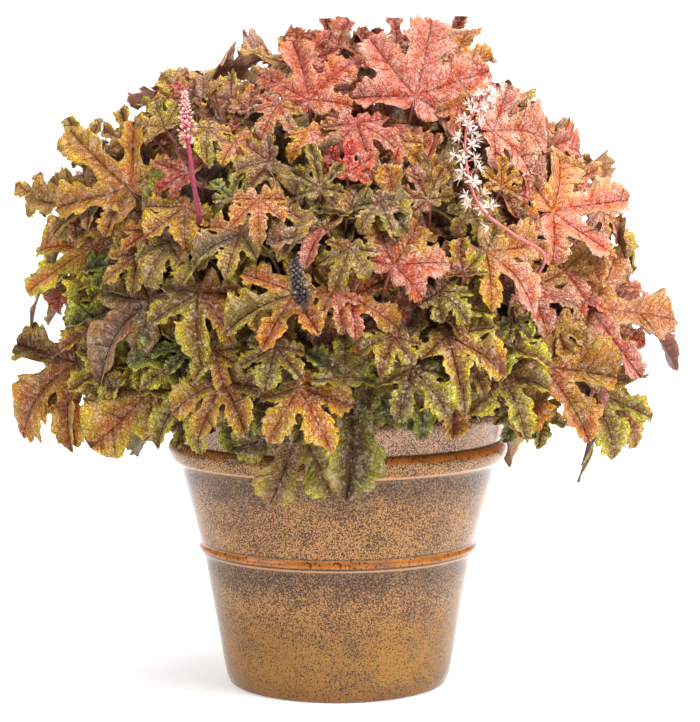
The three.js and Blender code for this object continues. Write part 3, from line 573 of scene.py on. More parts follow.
def in_gap(hub):
    """Whether the photograph shows the background where this hub would stand."""
    axis_share = EYE[1] / (EYE[1] - hub[1])
    seen = EYE + (hub - EYE) * axis_share
    column, row = AXIS_COLUMN + seen[0] / MM_PER_PIXEL, (TOP_ROW_HEIGHT - seen[2]) / MM_PER_PIXEL
    return any(x0 < column < x1 and y0 < row < y1 for x0, y0, x1, y1 in GAPS)


def mound_depth(column, row):
    seen = axis_plane_point(column, row)
    across = math.sqrt(max(0, MOUND_REACH ** 2 - seen[0] ** 2))
    up = (seen[2] - MOUND_HEIGHT) / MOUND_RISE
    down = (MOUND_HEIGHT - seen[2]) / MOUND_DROP
    share = math.sqrt(max(0, 1 - up ** 2)) if up > 0 else max(0, 1 - down ** 4)
    return across * share


class Leaf:
    """One leaf: its hub, its face, the way its middle lobe points, its size and its bends."""

    def __init__(self, hub, face, forward, size, tone, kind, seed):
        self.hub, self.face, self.forward = hub, face, forward
        self.size, self.tone, self.kind, self.seed = size, tone, kind, seed
        draw = random_stream(seed)
        self.lifts = [0.3 * (next(draw) - 0.5) for _ in range(5)]
        self.cup = 0.1 + 0.22 * next(draw)
        self.fold = 0.06 + 0.16 * next(draw)
        self.grade = "small"
        self.look = self.lobe_tones = None
        self.stem = None
        self.curve = None

    def moved(self, shift, tilt):
        cos, sin = math.cos(math.radians(tilt)), math.sin(math.radians(tilt))
        other = copy.copy(self)
        other.hub = self.hub + self.face * shift
        other.face = self.face * cos + self.forward * sin
        other.forward = self.forward * cos - self.face * sin
        return other


def leaf_from_row(row, seed):
    column, line, size, spin, turn, rise, deeper, tone, kind = row
    ahead = max(0, mound_depth(column, line) - deeper)
    hub = seen_point(column, line, ahead)
    turn, rise, spin = math.radians(turn), math.radians(rise), math.radians(spin)
    face = vec(math.sin(turn) * math.cos(rise), -math.cos(turn) * math.cos(rise), math.sin(rise))
    pointing = vec(math.cos(spin), 0, math.sin(spin))
    pointing[1] = -pointing.dot(face) / min(face[1], -0.3)
    forward = unit(pointing - face * pointing.dot(face))
    leaf = Leaf(hub, face, forward, size, tone, kind, seed)
    leaf.look = LOOKS.get((column, line))
    leaf.lobe_tones = LOBE_TONES.get((column, line))
    return leaf


def mound_point(azimuth, angle):
    across, up = math.cos(math.radians(angle)), math.sin(math.radians(angle))
    total = abs(across) ** MOUND_POWER + abs(up) ** MOUND_POWER
    reach = total ** (-1 / MOUND_POWER)
    rise = MOUND_RISE if up > 0 else MOUND_DROP
    return on_circle(MOUND_REACH * across * reach, azimuth, MOUND_HEIGHT + rise * up * reach)


def pick(draw, *choices):
    """The first choice whose share of the draw isn't passed."""
    for share, name in choices:
        if draw < share:
            return name
    return choices[-1][1]


def tone_at(hub, draw):
    if hub[2] > 330:
        return pick(draw, (0.55, "coral"), (0.8, "peach"), (1, "tan"))
    if hub[2] < 205:
        return pick(draw, (0.4, "lime"), (0.7, "olive"), (0.85, "green"), (1, "amber"))
    if hub[0] > 40:
        return pick(draw, (0.5, "coral"), (0.7, "rust"), (0.85, "peach"), (1, "olive"))
    if hub[0] < -60:
        return pick(draw, (0.35, "bronze"), (0.6, "olive"), (0.8, "amber"), (1, "tan"))
    return pick(draw, (0.35, "tan"), (0.6, "rust"), (0.8, "bronze"), (1, "olive"))


def filler_leaf(hub, draw, index, smallest, largest, seed):
    outward = unit(hub - CROWN)
    sway = vec(next(draw) - 0.5, next(draw) - 0.5, next(draw) - 0.5)
    face = unit(outward * 0.75 + UP * 0.4 + sway * 0.9)
    pointing = vec(next(draw) - 0.5, next(draw) - 0.5, 0) * 0.6
    if hub[2] < HANGING_BELOW:
        pointing = pointing + outward - UP * 0.8
    forward = unit(pointing - face * pointing.dot(face))
    size = smallest + (largest - smallest) * next(draw)
    tone = tone_at(hub, next(draw))
    return Leaf(hub, face, forward, size, tone, "palm", seed + SEED_STEP * index)


def filler_leaves(existing, tries, spacing, lowest_angle, sizes, seeds, shrink):
    """Leaves on the mound, or on a smaller one inside it, wherever there is room for one."""
    draw = random_stream(seeds[0])
    hubs = [leaf.hub for leaf in existing]
    lowest = math.sin(math.radians(lowest_angle))
    made = []
    for i in range(tries):
        level = lowest + (0.998 - lowest) * ((i + 0.5) / tries)
        hub = mound_point(GOLDEN_ANGLE * i, math.degrees(math.asin(level)))
        hub = CROWN + (hub - CROWN) * shrink
        if hubs and np.min(np.linalg.norm(np.array(hubs) - hub, axis=1)) < spacing:
            continue
        hubs.append(hub)
        made.append(filler_leaf(hub, draw, len(made), *sizes, seeds[1]))
    return made


def blade_height(leaf, degrees, reach):
    """Height of the blade over its plan, for arrays of angles and reaches, as in the solids."""
    lobe = np.clip(degrees / LOBE_STEP, -2, 2)
    lower = np.minimum(1, np.floor(lobe)).astype(int)
    share = lobe - lower
    lifts = np.array(leaf.lifts)
    lift = lifts[lower + 2] * (1 - share) + lifts[lower + 3] * share
    nearest = np.floor(lobe + 0.5) * LOBE_STEP
    beside = np.minimum(0.5, np.abs(np.sin(np.radians(degrees - nearest))))
    return (lift - leaf.cup) * reach ** 2 + leaf.fold * beside * reach


def plain_outline(leaf):
    """The outline of the leaf's solid: angles and reaches."""
    reach, cut, width, shoulder = LEAF_KINDS[leaf.kind]
    spread = math.degrees(math.atan(width / shoulder))
    broad = 2 if leaf.size >= LARGE_LEAF else 1 if leaf.size >= MEDIUM_LEAF else 0
    points = [(-LEAF_BACK_ANGLE, LEAF_BACK_REACH)]
    for lobe in LEAF_LOBES:
        length = reach[lobe + 2]
        middle = lobe * LOBE_STEP
        side = length * math.hypot(shoulder, width)
        if abs(lobe) <= broad:
            points.append((middle - spread, side))
        points.append((middle, length))
        if abs(lobe) <= broad:
            points.append((middle + spread, side))
        if lobe < 2:
            points.append((middle + LOBE_STEP / 2, cut * (0.7 + 0.3 * length)))
    points.append((LEAF_BACK_ANGLE, LEAF_BACK_REACH))
    return np.array(points)


def plain_points(leaf):
    degrees, reach = plain_outline(leaf).T
    angle = np.radians(degrees)
    side = np.cross(leaf.face, leaf.forward)
    points = leaf.hub + np.outer(leaf.size * reach * np.cos(angle), leaf.forward)
    points += np.outer(leaf.size * reach * np.sin(angle), side)
    points += np.outer(leaf.size * blade_height(leaf, degrees, reach), leaf.face)
    return np.vstack([leaf.hub, points])


def fan_edges(points):
    rim = points[1:]
    after = np.roll(rim, -1, axis=0)
    starts = np.vstack([np.repeat(points[:1], len(rim), axis=0), rim])
    return starts, np.vstack([rim, after])


def fan_faces(points):
    rim = points[1:]
    return np.repeat(points[:1], len(rim), axis=0), rim, np.roll(rim, -1, axis=0)


def count_crossings(starts, ends, a, b, c):
    """How many of the segments cross how many of the triangles."""
    along = (ends - starts)[:, None, :]
    edge1, edge2 = (b - a)[None], (c - a)[None]
    normal = np.cross(along, edge2)
    det = (edge1 * normal).sum(-1)
    live = np.abs(det) >= 1e-9
    det = np.where(live, det, 1)
    start = starts[:, None, :] - a[None]
    u = (start * normal).sum(-1) / det
    turn = np.cross(start, edge1)
    v = (along * turn).sum(-1) / det
    t = (edge2 * turn).sum(-1) / det
    hit = live & (u >= 0) & (u <= 1) & (v >= 0) & (u + v <= 1) & (t >= 0) & (t <= 1)
    return int(hit.sum())


def inside_pot(points):
    height = points[:, 2]
    slope = (BEAD_RADIUS - 6 - POT_BASE_RADIUS) / ENVELOPE_SHOULDER
    radius = np.where(
        height < ENVELOPE_SHOULDER, POT_BASE_RADIUS + 1 + slope * height, ENVELOPE_RADIUS
    )
    return (height < ENVELOPE_TOP) & (np.hypot(points[:, 0], points[:, 1]) < radius)


def cleared_leaf(leaf, placed):
    """The leaf moved and tilted by the first small amounts that clear its neighbours best."""
    best, least = leaf, math.inf
    for shift in CLEARING_SHIFTS:
        for tilt in CLEARING_TILTS:
            moved = leaf.moved(shift, tilt)
            points = plain_points(moved)
            count = POT_PENALTY * int(inside_pot(points).sum())
            near = [
                other for other in placed
                if np.linalg.norm(other.hub - moved.hub) <= other.size + moved.size
            ]
            if near and count < least:
                starts, ends = (np.vstack(p) for p in zip(*(fan_edges(o.points) for o in near)))
                faces = [np.vstack(p) for p in zip(*(fan_faces(o.points) for o in near))]
                count += count_crossings(*fan_edges(points), *faces)
                count += count_crossings(starts, ends, *fan_faces(points))
            if count < least:
                least = count
                best = moved
                best.points = points
            if least == 0:
                return best
    return best


# Stalks

STEM_RINGS = (
    (62, 1, 0, 0, 0, 262),
    (36, 5, 18, 22, 56, 250),
    (10, 8, 22.5, 42, 82, 230),
    (-90, 8, 0, 64, 90, 208),
)
STEM_FOOT = 150.3
RIM_INNER = 96
RIM_OUTER = 116
RIM_CLEAR_HEIGHT = 187
RIM_SHARES = np.linspace(0, 1, 17)
PETIOLE_DETOURS = (0, 6, -6, 12, -12, 20, -20, 30, -30, 40, -40)
PETIOLE_DROPS = (0, 0.15, 0.3)
LOWEST_START = 0.45
START_SPAN = 0.42
LIFT_STEP = 6
LARGEST_LIFT = 90
STALK_SHARES = np.linspace(0, 1, 41)
STALK_GAP = 5
SPIKE_GAP = 8


def bezier(points, t):
    """Points of a Bezier curve of any degree at the shares t."""
    t = np.asarray(t, float)[:, None]
    rows = [np.repeat(p[None], len(t), axis=0) for p in points]
    while len(rows) > 1:
        rows = [a * (1 - t) + b * t for a, b in zip(rows, rows[1:])]
    return rows[0]


class Stem:
    """A leafy stem: its curve, its leaves and the stalks already led from it."""

    def __init__(self, level, azimuth, controls):
        self.level, self.azimuth, self.controls = level, azimuth, controls
        self.leaves = []
        self.stalks = bezier(controls, STALK_SHARES)


def stem_axes():
    stems = []
    for level, (_, count, first, foot_radius, tip_radius, tip_height) in enumerate(STEM_RINGS):
        for i in range(count):
            azimuth = first + 360 * i / count
            foot = on_circle(foot_radius, azimuth, STEM_FOOT)
            tip = on_circle(tip_radius, azimuth, tip_height)
            rise = tip[2] - foot[2]
            start = foot + UP * 0.45 * rise
            bend = foot + (tip - foot) * 0.25
            bend[2] = foot[2] + 0.75 * rise
            stems.append(Stem(level, azimuth, (foot, start, bend, tip)))
    return stems


def stem_for(hub, stems):
    x, y, z = hub - CROWN
    angle = math.degrees(math.atan2(z, math.hypot(x, y)))
    azimuth = math.degrees(math.atan2(y, x))
    level = next(i for i, ring in enumerate(STEM_RINGS) if angle > ring[0])
    ring = [stem for stem in stems if stem.level == level]
    return min(ring, key=lambda stem: abs((stem.azimuth - azimuth + 180) % 360 - 180))


def petiole_controls(leaf, start, lift, sideways):
    end = leaf.hub - leaf.forward * GAP_AROUND_HUB * leaf.size
    length = np.linalg.norm(end - start)
    bend = end - leaf.forward * 0.26 * length - leaf.face * 0.2 * length
    bend = bend + ((start + end) / 2 - bend) * 0.35
    across = unit(np.cross(end - start, UP))
    return start, bend + across * sideways + UP * lift, end


def clears_rim(controls):
    points = bezier(controls, RIM_SHARES)
    radius = np.hypot(points[:, 0], points[:, 1])
    beside = (radius < RIM_INNER) | (radius > RIM_OUTER)
    return bool(np.all(beside | (points[:, 2] > RIM_CLEAR_HEIGHT)))


def closest(points, others):
    return float(np.min(np.linalg.norm(points[:, None] - others[None], axis=-1)))


def lifted_petiole(leaf, start, sideways):
    lift = 0
    controls = petiole_controls(leaf, start, lift, sideways)
    while not clears_rim(controls) and lift < LARGEST_LIFT:
        lift += LIFT_STEP
        controls = petiole_controls(leaf, start, lift, sideways)
    return controls


def petiole_route(leaf, stem, share, stalks, spikes):
    best, widest = None, -math.inf
    for sideways in PETIOLE_DETOURS:
        for drop in PETIOLE_DROPS:
            start = bezier(stem.controls, [max(LOWEST_START, share - drop)])[0]
            controls = lifted_petiole(leaf, start, sideways)
            points = bezier(controls, STALK_SHARES)
            gap = min(closest(points, stalks) - STALK_GAP, closest(points, spikes) - SPIKE_GAP)
            if gap > 0:
                return controls
            if gap > widest:
                best, widest = controls, gap
    return best


def route_petioles(leaves, stems, spikes):
    for leaf in leaves:
        leaf.stem = stem_for(leaf.hub, stems)
        leaf.stem.leaves.append(leaf)
    for stem in stems:
        for i, leaf in enumerate(stem.leaves):
            share = 1 - START_SPAN * i / len(stem.leaves)
            others = np.vstack([other.stalks for other in stems if other is not stem])
            leaf.curve = petiole_route(leaf, stem, share, others, spikes)
            points = bezier(leaf.curve, STALK_SHARES)
            stem.stalks = np.vstack([stem.stalks, points])


def add_inner_leaves(leaves, stems):
    """Small and inner leaves join the stem that is nearest, on plain petioles."""
    draw = random_stream(INNER_STALKS_SEED)
    for leaf in leaves:
        leaf.stem = stem_for(leaf.hub, stems)
        leaf.stem.leaves.append(leaf)
        start = bezier(leaf.stem.controls, [0.5 + 0.5 * next(draw)])[0]
        leaf.curve = lifted_petiole(leaf, start, 0)


# Flower spikes: foot in the soil, the points seen in the photograph, stalk, and what each bears

SPIKES = {
    "flower_spike_pink": {
        "foot": (-27.5, -66.5),
        "route": (
            (214, 290, 96), (199, 212, 132), (192, 165, 138), (187, 120, 132), (186, 90, 126),
        ),
        "radius": 2.3, "from": 0.862, "count": 92,
        "crowding": 0.62, "taper": 0.72, "bud": 1.05, "pale_from": 0,
    },
    "flower_spike_white": {
        "foot": (27.5, -66.5),
        "route": (
            (500, 320, 92), (531, 282, 118), (545, 254, 128), (512, 231, 142), (481, 206, 142),
            (467, 165, 134), (468, 122, 122), (495, 83, 108),
        ),
        "radius": 1.6, "from": 0.69, "count": 36,
    },
    "flower_spike_dark": {
        "foot": (17, -80),
        "route": ((322, 348, 140), (306, 314, 178), (299, 286, 190), (295, 258, 192)),
        "radius": 1.6, "from": 0.86, "count": 76,
        # Pale tips on the upper buds only: partly the buds' own pale tips, partly a painted
        # highlight on the top of the spike
        "crowding": 1.0, "taper": 0.35, "bud": 1.45, "pale_from": 0.4,
    },
}
SPIKE_TAPER = 0.4
SOIL_TOP = 169


def cubic_value(a, b, from_slope, to_slope, t):
    c2 = -3 * a + 3 * b - 2 * from_slope - to_slope
    c3 = 2 * a - 2 * b + from_slope + to_slope
    return a + from_slope * t + c2 * t * t + c3 * t ** 3


def smooth_curve(points, t):
    """A centripetal curve through the points, at the share t of their number."""
    last = len(points) - 1
    place = last * t
    i = min(int(place), last - 1)
    weight = place - i
    before = points[i - 1] if i > 0 else 2 * points[0] - points[1]
    after = points[i + 2] if i + 2 <= last else 2 * points[last] - points[last - 1]
    p = (before, points[i], points[i + 1], after)
    gaps = [max(np.linalg.norm(b - a) ** 0.5, 1e-4) for a, b in zip(p, p[1:])]
    d0, d1, d2 = gaps
    slope1 = (p[1] - p[0]) / d0 - (p[2] - p[0]) / (d0 + d1) + (p[2] - p[1]) / d1
    slope2 = (p[2] - p[1]) / d1 - (p[3] - p[1]) / (d1 + d2) + (p[3] - p[2]) / d2
    return cubic_value(p[1], p[2], slope1 * d1, slope2 * d1, weight)


def spike_points(spike, count):
    x, y = spike["foot"]
    points = [vec(x, y, STEM_FOOT), vec(x, y, SOIL_TOP + 16)]
    points += [seen_point(*place) for place in spike["route"]]
    return np.array([smooth_curve(points, t) for t in np.linspace(0, 1, count)])


# Mesh building

class Surface:
    """Gathers vertices, faces, materials and attributes for one mesh, in millimetres."""

    def __init__(self):
        self.places, self.faces, self.slots = [], [], []
        self.values = {}
        self.total = 0

    def add(self, places, faces, slot=0, **values):
        self.faces.extend(f + self.total for f in faces)
        self.slots.extend(np.full(len(f), slot) for f in faces)
        self.places.append(np.asarray(places, float))
        for name, value in values.items():
            self.values.setdefault(name, []).append(value)
        self.total += len(places)

    def tube(self, points, radii, sides, slot=0):
        self.add(*tube_mesh(points, radii, sides), slot)

    def build(self, name, materials, smooth=True):
        mesh = bpy.data.meshes.new(name)
        places = np.clip(np.vstack(self.places), LOWEST_CORNER, HIGHEST_CORNER) * MM
        faces = [row for block in self.faces for row in block.tolist()]
        mesh.from_pydata(places.tolist(), [], faces)
        for key, blocks in self.values.items():
            data = np.concatenate(blocks)
            kind, field = "FLOAT", "value"
            if data.ndim == 2:
                kind, field = "FLOAT_COLOR", "color"
                data = np.hstack([data, np.ones((len(data), 1))]).ravel()
            layer = mesh.attributes.new(key, kind, "POINT")
            layer.data.foreach_set(field, data.astype(np.float32))
        for material in materials:
            mesh.materials.append(material)
        mesh.polygons.foreach_set("material_index", np.concatenate(self.slots).astype(np.int32))
        mesh.polygons.foreach_set("use_smooth", np.full(len(faces), smooth))
        mesh.update()
        piece = bpy.data.objects.new(name, mesh)
        bpy.context.scene.collection.objects.link(piece)
        return piece


def settle(piece, slot, *nodes):
    """The finished piece rides on the plant's one body and stands for its solids."""
    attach(piece, "root")
    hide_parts(*nodes)


def grid_faces(rows, columns):
    """Four-sided faces between rings of points."""
    i = np.arange(rows - 1)[:, None]
    j = np.arange(columns)[None]
    k = (j + 1) % columns
    low, high = i * columns, (i + 1) * columns
    return np.stack([low + j, low + k, high + k, high + j], -1).reshape(-1, 4)


def tube_mesh(points, radii, sides):
    """Places and faces of a tube with rounded ends along the points."""
    points = np.asarray(points)
    tangents = np.gradient(points, axis=0)
    tangents /= np.linalg.norm(tangents, axis=1)[:, None]
    helper = vec(0.37, 0.61, 0.7)
    if abs(tangents[0].dot(helper)) > 0.9:
        helper = vec(1, 0, 0)
    angle = np.linspace(0, 2 * math.pi, sides, endpoint=False)
    side = unit(np.cross(tangents[0], helper))
    rings = []
    for point, tangent, radius in zip(points, tangents, radii):
        side = unit(side - tangent * side.dot(tangent))
        up = np.cross(tangent, side)
        rings.append(point + radius * (np.outer(np.cos(angle), side) + np.outer(np.sin(angle), up)))
    places = np.vstack(rings + [points[:1], points[-1:]])
    count = len(points)
    j = np.arange(sides)
    k = (j + 1) % sides
    low = np.full(sides, count * sides)
    start = np.stack([low, k, j], -1)
    end = np.stack([low + 1, (count - 1) * sides + j, (count - 1) * sides + k], -1)
    return places, [grid_faces(count, sides), start, end]


# Leaf blades

def leaf_look(leaf):
    """How shallow this leaf's cuts are, how broad its lobes and how much its face turns up."""
    draw = random_stream(leaf.seed + LOOK_STREAM)
    return leaf.look or (0.82 + 0.6 * next(draw), 0.9 + 0.2 * next(draw), 1)


class Lobe:
    """Length, breadth and bends of one lobe of a leaf."""

    def __init__(self, leaf, index, draw):
        reach = LEAF_KINDS[leaf.kind][0]
        self.index = index
        self.length = reach[index + 2] * (0.96 + 0.07 * next(draw))
        kind_breadth = LEAF_KINDS[leaf.kind][2] / NOMINAL_WIDTH * VISUAL_BREADTH[leaf.kind]
        self.breadth = kind_breadth * leaf_look(leaf)[1] * (0.9 + 0.22 * next(draw))
        self.blunt = 0.5 * (next(draw) - 0.4)
        self.fold = 0.1 + 0.6 * next(draw) ** 1.3
        self.twist = 1.35 * (next(draw) - 0.5)
        self.curl = 0.9 * (next(draw) - 0.62) * (0.35 if leaf.look else 1)
        self.phase = 2 * math.pi * next(draw)


def lobe_edge(leaf, lobe, side, draw, control):
    """Edge points of half a lobe from the hub to its tip, and how many lie before its margin."""
    reach, cut, _, _ = LEAF_KINDS[leaf.kind]
    if abs(lobe.index + side) > 2:
        points, before = list(BACK_EDGE), 0
    else:
        inner = min(lobe.index, lobe.index + side)
        root = VISUAL_CUT[leaf.kind] * leaf_look(leaf)[0] * cut * (0.7 + 0.3 * reach[inner + 2])
        root = min(root, 0.82 * min(reach[inner + 2], reach[inner + 3]))
        turn = math.radians(LOBE_STEP / 2)
        ray = (root * math.cos(turn), root * math.sin(turn))
        points = [(ray[0] * share, ray[1] * share) for share in SINUS_SHARES]
        before = len(points) - 1
    start, wide = points[-1]
    neck = min(1, max(0, (math.hypot(start, wide) - 0.38) / 0.16))
    for along, across in control:
        along = along + 0.016 * (next(draw) - 0.5)
        across = across * lobe.breadth * (1 + lobe.blunt * (along - 0.72))
        across *= 0.92 + 0.16 * next(draw)
        if leaf.kind == "round":
            smooth = 0.27 * lobe.breadth * math.sin(math.pi * min(1, along) ** 2.2) ** 0.6
            across = across * 0.22 + smooth * 0.78
        beyond = along * lobe.length - start
        if beyond > 0.025:
            across *= lobe.length
            if along < 0.652:
                rise = beyond / (0.652 * lobe.length - start)
                straight = wide + (0.25 * lobe.length - wide) * rise
                across += neck * max(0, straight - 0.012 - across)
            points.append((along * lobe.length, across))
    points.append((lobe.length, 0))
    return np.array(points), before


def half_lobe(lobe, side, columns, edge, before):
    """Plan of half a lobe as rows from the midrib to the edge, with what its shading needs."""
    middle = np.maximum.accumulate(edge[:, 0] - SIDE_VEIN_SLANT * edge[:, 1])
    middle = np.maximum(middle, 0)
    share = np.array(columns)[None]
    along = middle[:, None] * (1 - share) + edge[:, :1] * share
    across = edge[:, 1:] * share
    along = np.vstack([np.zeros((1, len(columns))), along])
    across = np.vstack([np.zeros((1, len(columns))), across])
    rows = len(along)
    rising = np.clip((np.arange(rows) - 1) / max(1, before), 0, 1)[:, None]
    if before == 0:
        rising = np.clip(np.arange(rows) / 3, 0, 1)[:, None]
    margin = share * (0.35 + 0.65 * rising ** 3)
    turn = math.radians(LOBE_STEP * lobe.index)
    cos, sin = math.cos(turn), math.sin(turn)
    plan = np.stack([along * cos - side * across * sin, along * sin + side * across * cos], -1)
    reach = np.hypot(along, across)
    root = math.hypot(*edge[before]) if before else 0.1
    free = np.clip((reach - root) / 0.22, 0, 1)
    free = free * free * (3 - 2 * free)
    lift = free * (lobe.fold * across + lobe.twist * side * across)
    lift += 1.7 * lobe.curl * np.maximum(0, reach - 0.42) ** 2
    waves = np.sin(along * 21 / lobe.length + lobe.phase + side) * free
    lift += 0.05 * share ** 1.4 * waves * lobe.length
    rib = along - SIDE_VEIN_SLANT * across
    lift += 0.015 * np.abs(np.sin(rib * math.pi / SIDE_VEIN_GAP)) * np.minimum(1, across * 10)
    lift -= 0.012 * np.exp(-(across / 0.02) ** 2) * np.minimum(1, reach * 4)
    values = np.stack([rib, across, margin * np.ones_like(along), reach, lift], -1)
    return plan.reshape(-1, 2), values.reshape(-1, 5), rows


def half_lobe_faces(rows, columns, first, mirrored):
    index = first + np.arange(rows * columns).reshape(rows, columns)
    quads = [index[1:-2, :-1], index[2:-1, :-1], index[2:-1, 1:], index[1:-2, 1:]]
    hub = [index[0, :-1], index[1, :-1], index[1, 1:]]
    tip = [index[-2, :-1], index[-1, :-1], index[-2, 1:]]
    faces = [np.stack(sides, -1).reshape(-1, len(sides)) for sides in (quads, hub, tip)]
    if mirrored:
        faces = [f[:, ::-1] for f in faces]
    return faces, index[:, -1]


def blade_layer(leaf, lobes, edges, columns):
    """One face of the blade: plan, shading values, faces, and its outline in order."""
    plans, values, faces, outline = [], [], [], []
    total = 0
    for lobe in lobes:
        for side in (-1, 1):
            edge, before = edges[lobe.index, side]
            plan, value, rows = half_lobe(lobe, side, columns, edge, before)
            made, rim = half_lobe_faces(rows, len(columns), total, side < 0)
            rim = rim[before + 1:] if before else rim
            outline.extend(rim if side < 0 else rim[::-1])
            plans.append(plan)
            values.append(value)
            faces.extend(made)
            total += len(plan)
    plan, values = np.vstack(plans), np.vstack(values)
    key = np.round(plan * 20000).astype(int)
    _, kept, welded = np.unique(key, axis=0, return_index=True, return_inverse=True)
    welded = welded.ravel()
    faces = [welded[f] for f in faces]
    outline = welded[np.array(outline)]
    outline = outline[np.append(True, outline[1:] != outline[:-1])]
    return plan[kept], values[kept], faces, outline


def plan_degrees(plan):
    return np.degrees(np.arctan2(plan[:, 1], plan[:, 0]))


def leaf_height(leaf, plan, lift, ruffle):
    """Height of the blade over its plan: the solid's bends, broad waves, and its own lift."""
    draw = random_stream(leaf.seed + WAVES_STREAM)
    degrees = plan_degrees(plan)
    reach = np.hypot(plan[:, 0], plan[:, 1])
    lengths = np.interp(degrees, LOBE_ANGLES, LEAF_KINDS[leaf.kind][0])
    flat = np.maximum(reach, 1e-4)
    bends = blade_height(leaf, degrees, reach)
    fold = leaf.fold * reach * np.minimum(
        0.5, np.abs(np.sin(np.radians(degrees - np.floor(degrees / LOBE_STEP + 0.5) * LOBE_STEP)))
    )
    bends = (bends - fold) * (0.5 + 0.5 * lengths / flat) + fold * 1.5
    height = bends + lift
    for waves, strength in ((5, 1.2), (9, 0.9), (16, 0.6)):
        phase = 2 * math.pi * next(draw)
        height += ruffle * strength * reach ** 2 * np.sin(waves * np.radians(degrees) + phase)
    return height


def sickle(leaf, plan):
    """Lobes swept a little to one side or the other, more towards their tips."""
    draw = random_stream(leaf.seed + SWEEP_STREAM)
    sweeps = np.array([math.radians(24) * (next(draw) - 0.5) for _ in range(5)])
    degrees = plan_degrees(plan)
    turn = np.interp(degrees, LOBE_ANGLES, sweeps) * np.hypot(plan[:, 0], plan[:, 1])
    cos, sin = np.cos(turn), np.sin(turn)
    return np.stack([plan[:, 0] * cos - plan[:, 1] * sin, plan[:, 0] * sin + plan[:, 1] * cos], -1)


def leaf_colors(leaf, tones, plan):
    """Three colours at each point: the leaf's tone, turning to a second one in some lobes."""
    draw = random_stream(leaf.seed + COLORS_STREAM)
    choices = COMPANIONS[leaf.tone][1]
    second = choices[int(next(draw) * len(choices))]
    other = tuple(TONES)[int(next(draw) * len(TONES))]
    astray = 0.16 * next(draw)
    light = 0.74 + 0.5 * next(draw)
    depth = 0.98 + 0.3 * next(draw)
    # Painted light and shade: the colours are lightened towards the sides of the plant and darkened
    # in the middle
    light *= np.interp(leaf.hub[0], *PAINTED_LIGHT_BY_PLACE)
    turned = [0.25 * next(draw) + (0.6 if next(draw) < 0.36 else 0) for _ in LEAF_LOBES]
    degrees = plan_degrees(plan)
    bounds = [-112, -78, -62, -38, -12, 12, 38, 62, 78, 112]
    colors = {}
    for part in ("vein", "blade", "margin"):
        own, stray = (np.array(getattr(tones, f"{name}_{part}")) for name in (leaf.tone, other))
        lobes = []
        for share, tone in zip(turned, leaf.lobe_tones or [second] * 5):
            share = 0.9 if leaf.lobe_tones else share
            lobes += [own * (1 - share) + np.array(getattr(tones, f"{tone}_{part}")) * share] * 2
        mixed = np.stack([np.interp(degrees, bounds, values) for values in np.array(lobes).T], -1)
        mixed = mixed * (1 - astray) + stray * astray
        gray = mixed.mean(-1, keepdims=True)
        colors[f"{part}_tint"] = np.clip((gray + (mixed - gray) * depth) * light, 0.005, 0.93)
    return colors


def risen(leaf):
    """The leaf's face and forward turned a little upwards, and which way is up in its plan."""
    up = UP - leaf.face * leaf.face[2]
    steep = np.linalg.norm(up)
    if steep < 0.1:
        return leaf.face, leaf.forward, np.zeros(2)
    up = up / steep
    hanging = min(1, max(0, (leaf.face[2] - 0.15) / 0.25)) * leaf_look(leaf)[2]
    turn = math.radians(RISE_MORE) * steep * hanging
    face = leaf.face * math.cos(turn) + up * math.sin(turn)
    turned_up = up * math.cos(turn) - leaf.face * math.sin(turn)
    forward = leaf.forward + (turned_up - up) * leaf.forward.dot(up)
    across = np.cross(face, forward)
    upward = np.array((turned_up.dot(forward), turned_up.dot(across)))
    return face, forward, upward * steep * hanging


def add_blade(surface, leaf, settings, tones):
    draw = random_stream(leaf.seed + LOBES_STREAM)
    lobes = [Lobe(leaf, index, draw) for index in LEAF_LOBES]
    control = GRADES[leaf.grade][0]
    edges = {
        (lobe.index, side): lobe_edge(leaf, lobe, side, draw, control)
        for lobe in lobes for side in (-1, 1)
    }
    face, forward, upward = risen(leaf)
    across = np.cross(face, forward)
    least = COMPANIONS[leaf.tone][0]
    chance = least + (1 - least) * 0.6 * next(random_stream(leaf.seed + HEART_STREAM))
    half = settings.thickness / MM / 2
    rims = []
    for under, columns in enumerate(GRADES[leaf.grade][1:3]):
        plan, values, faces, outline = blade_layer(leaf, lobes, edges, columns)
        height = leaf_height(leaf, plan, values[:, 4], settings.ruffle)
        high = plan @ upward
        reach = values[:, 3]
        height += 0.27 * np.maximum(0, high) * reach - 0.26 * np.maximum(0, -high) * reach ** 2
        offset = (-half if under else half) * (1 - 0.5 * values[:, 2] ** 3)
        place = sickle(leaf, plan) * leaf.size
        places = leaf.hub + np.outer(place[:, 0], forward) + np.outer(place[:, 1], across)
        places += np.outer(height * leaf.size + offset, face)
        rims.append(surface.total + outline)
        surface.add(
            places, [f[:, ::-1] for f in faces] if under else faces, 0,
            **leaf_colors(leaf, tones, plan),
            rib=values[:, 0], across=values[:, 1], edge=values[:, 2], reach=values[:, 3],
            chance=np.full(len(places), chance), under=np.full(len(places), float(under)),
        )
    top, low = rims
    strip = np.stack([low, np.roll(low, -1), np.roll(top, -1), top], -1)
    strip = strip[(strip[:, 0] != strip[:, 1]) & (strip[:, 2] != strip[:, 3])]
    surface.faces.append(strip)
    surface.slots.append(np.zeros(len(strip)))


def add_stalk(surface, points, radii, sides, tints):
    """A petiole or stem; tints are its colours at the foot and at the leaf."""
    places, faces = tube_mesh(points, radii, sides)
    share = np.repeat(np.linspace(0, 1, len(points)), sides)
    share = np.concatenate([share, [0, 1]])[:, None]
    tint = tints[0] * (1 - share) + tints[1] * share
    still = np.zeros(len(places))
    surface.add(
        places, faces, 1, vein_tint=tint, blade_tint=tint, margin_tint=tint,
        rib=still, across=still, edge=still, reach=share[:, 0], chance=still, under=still,
    )


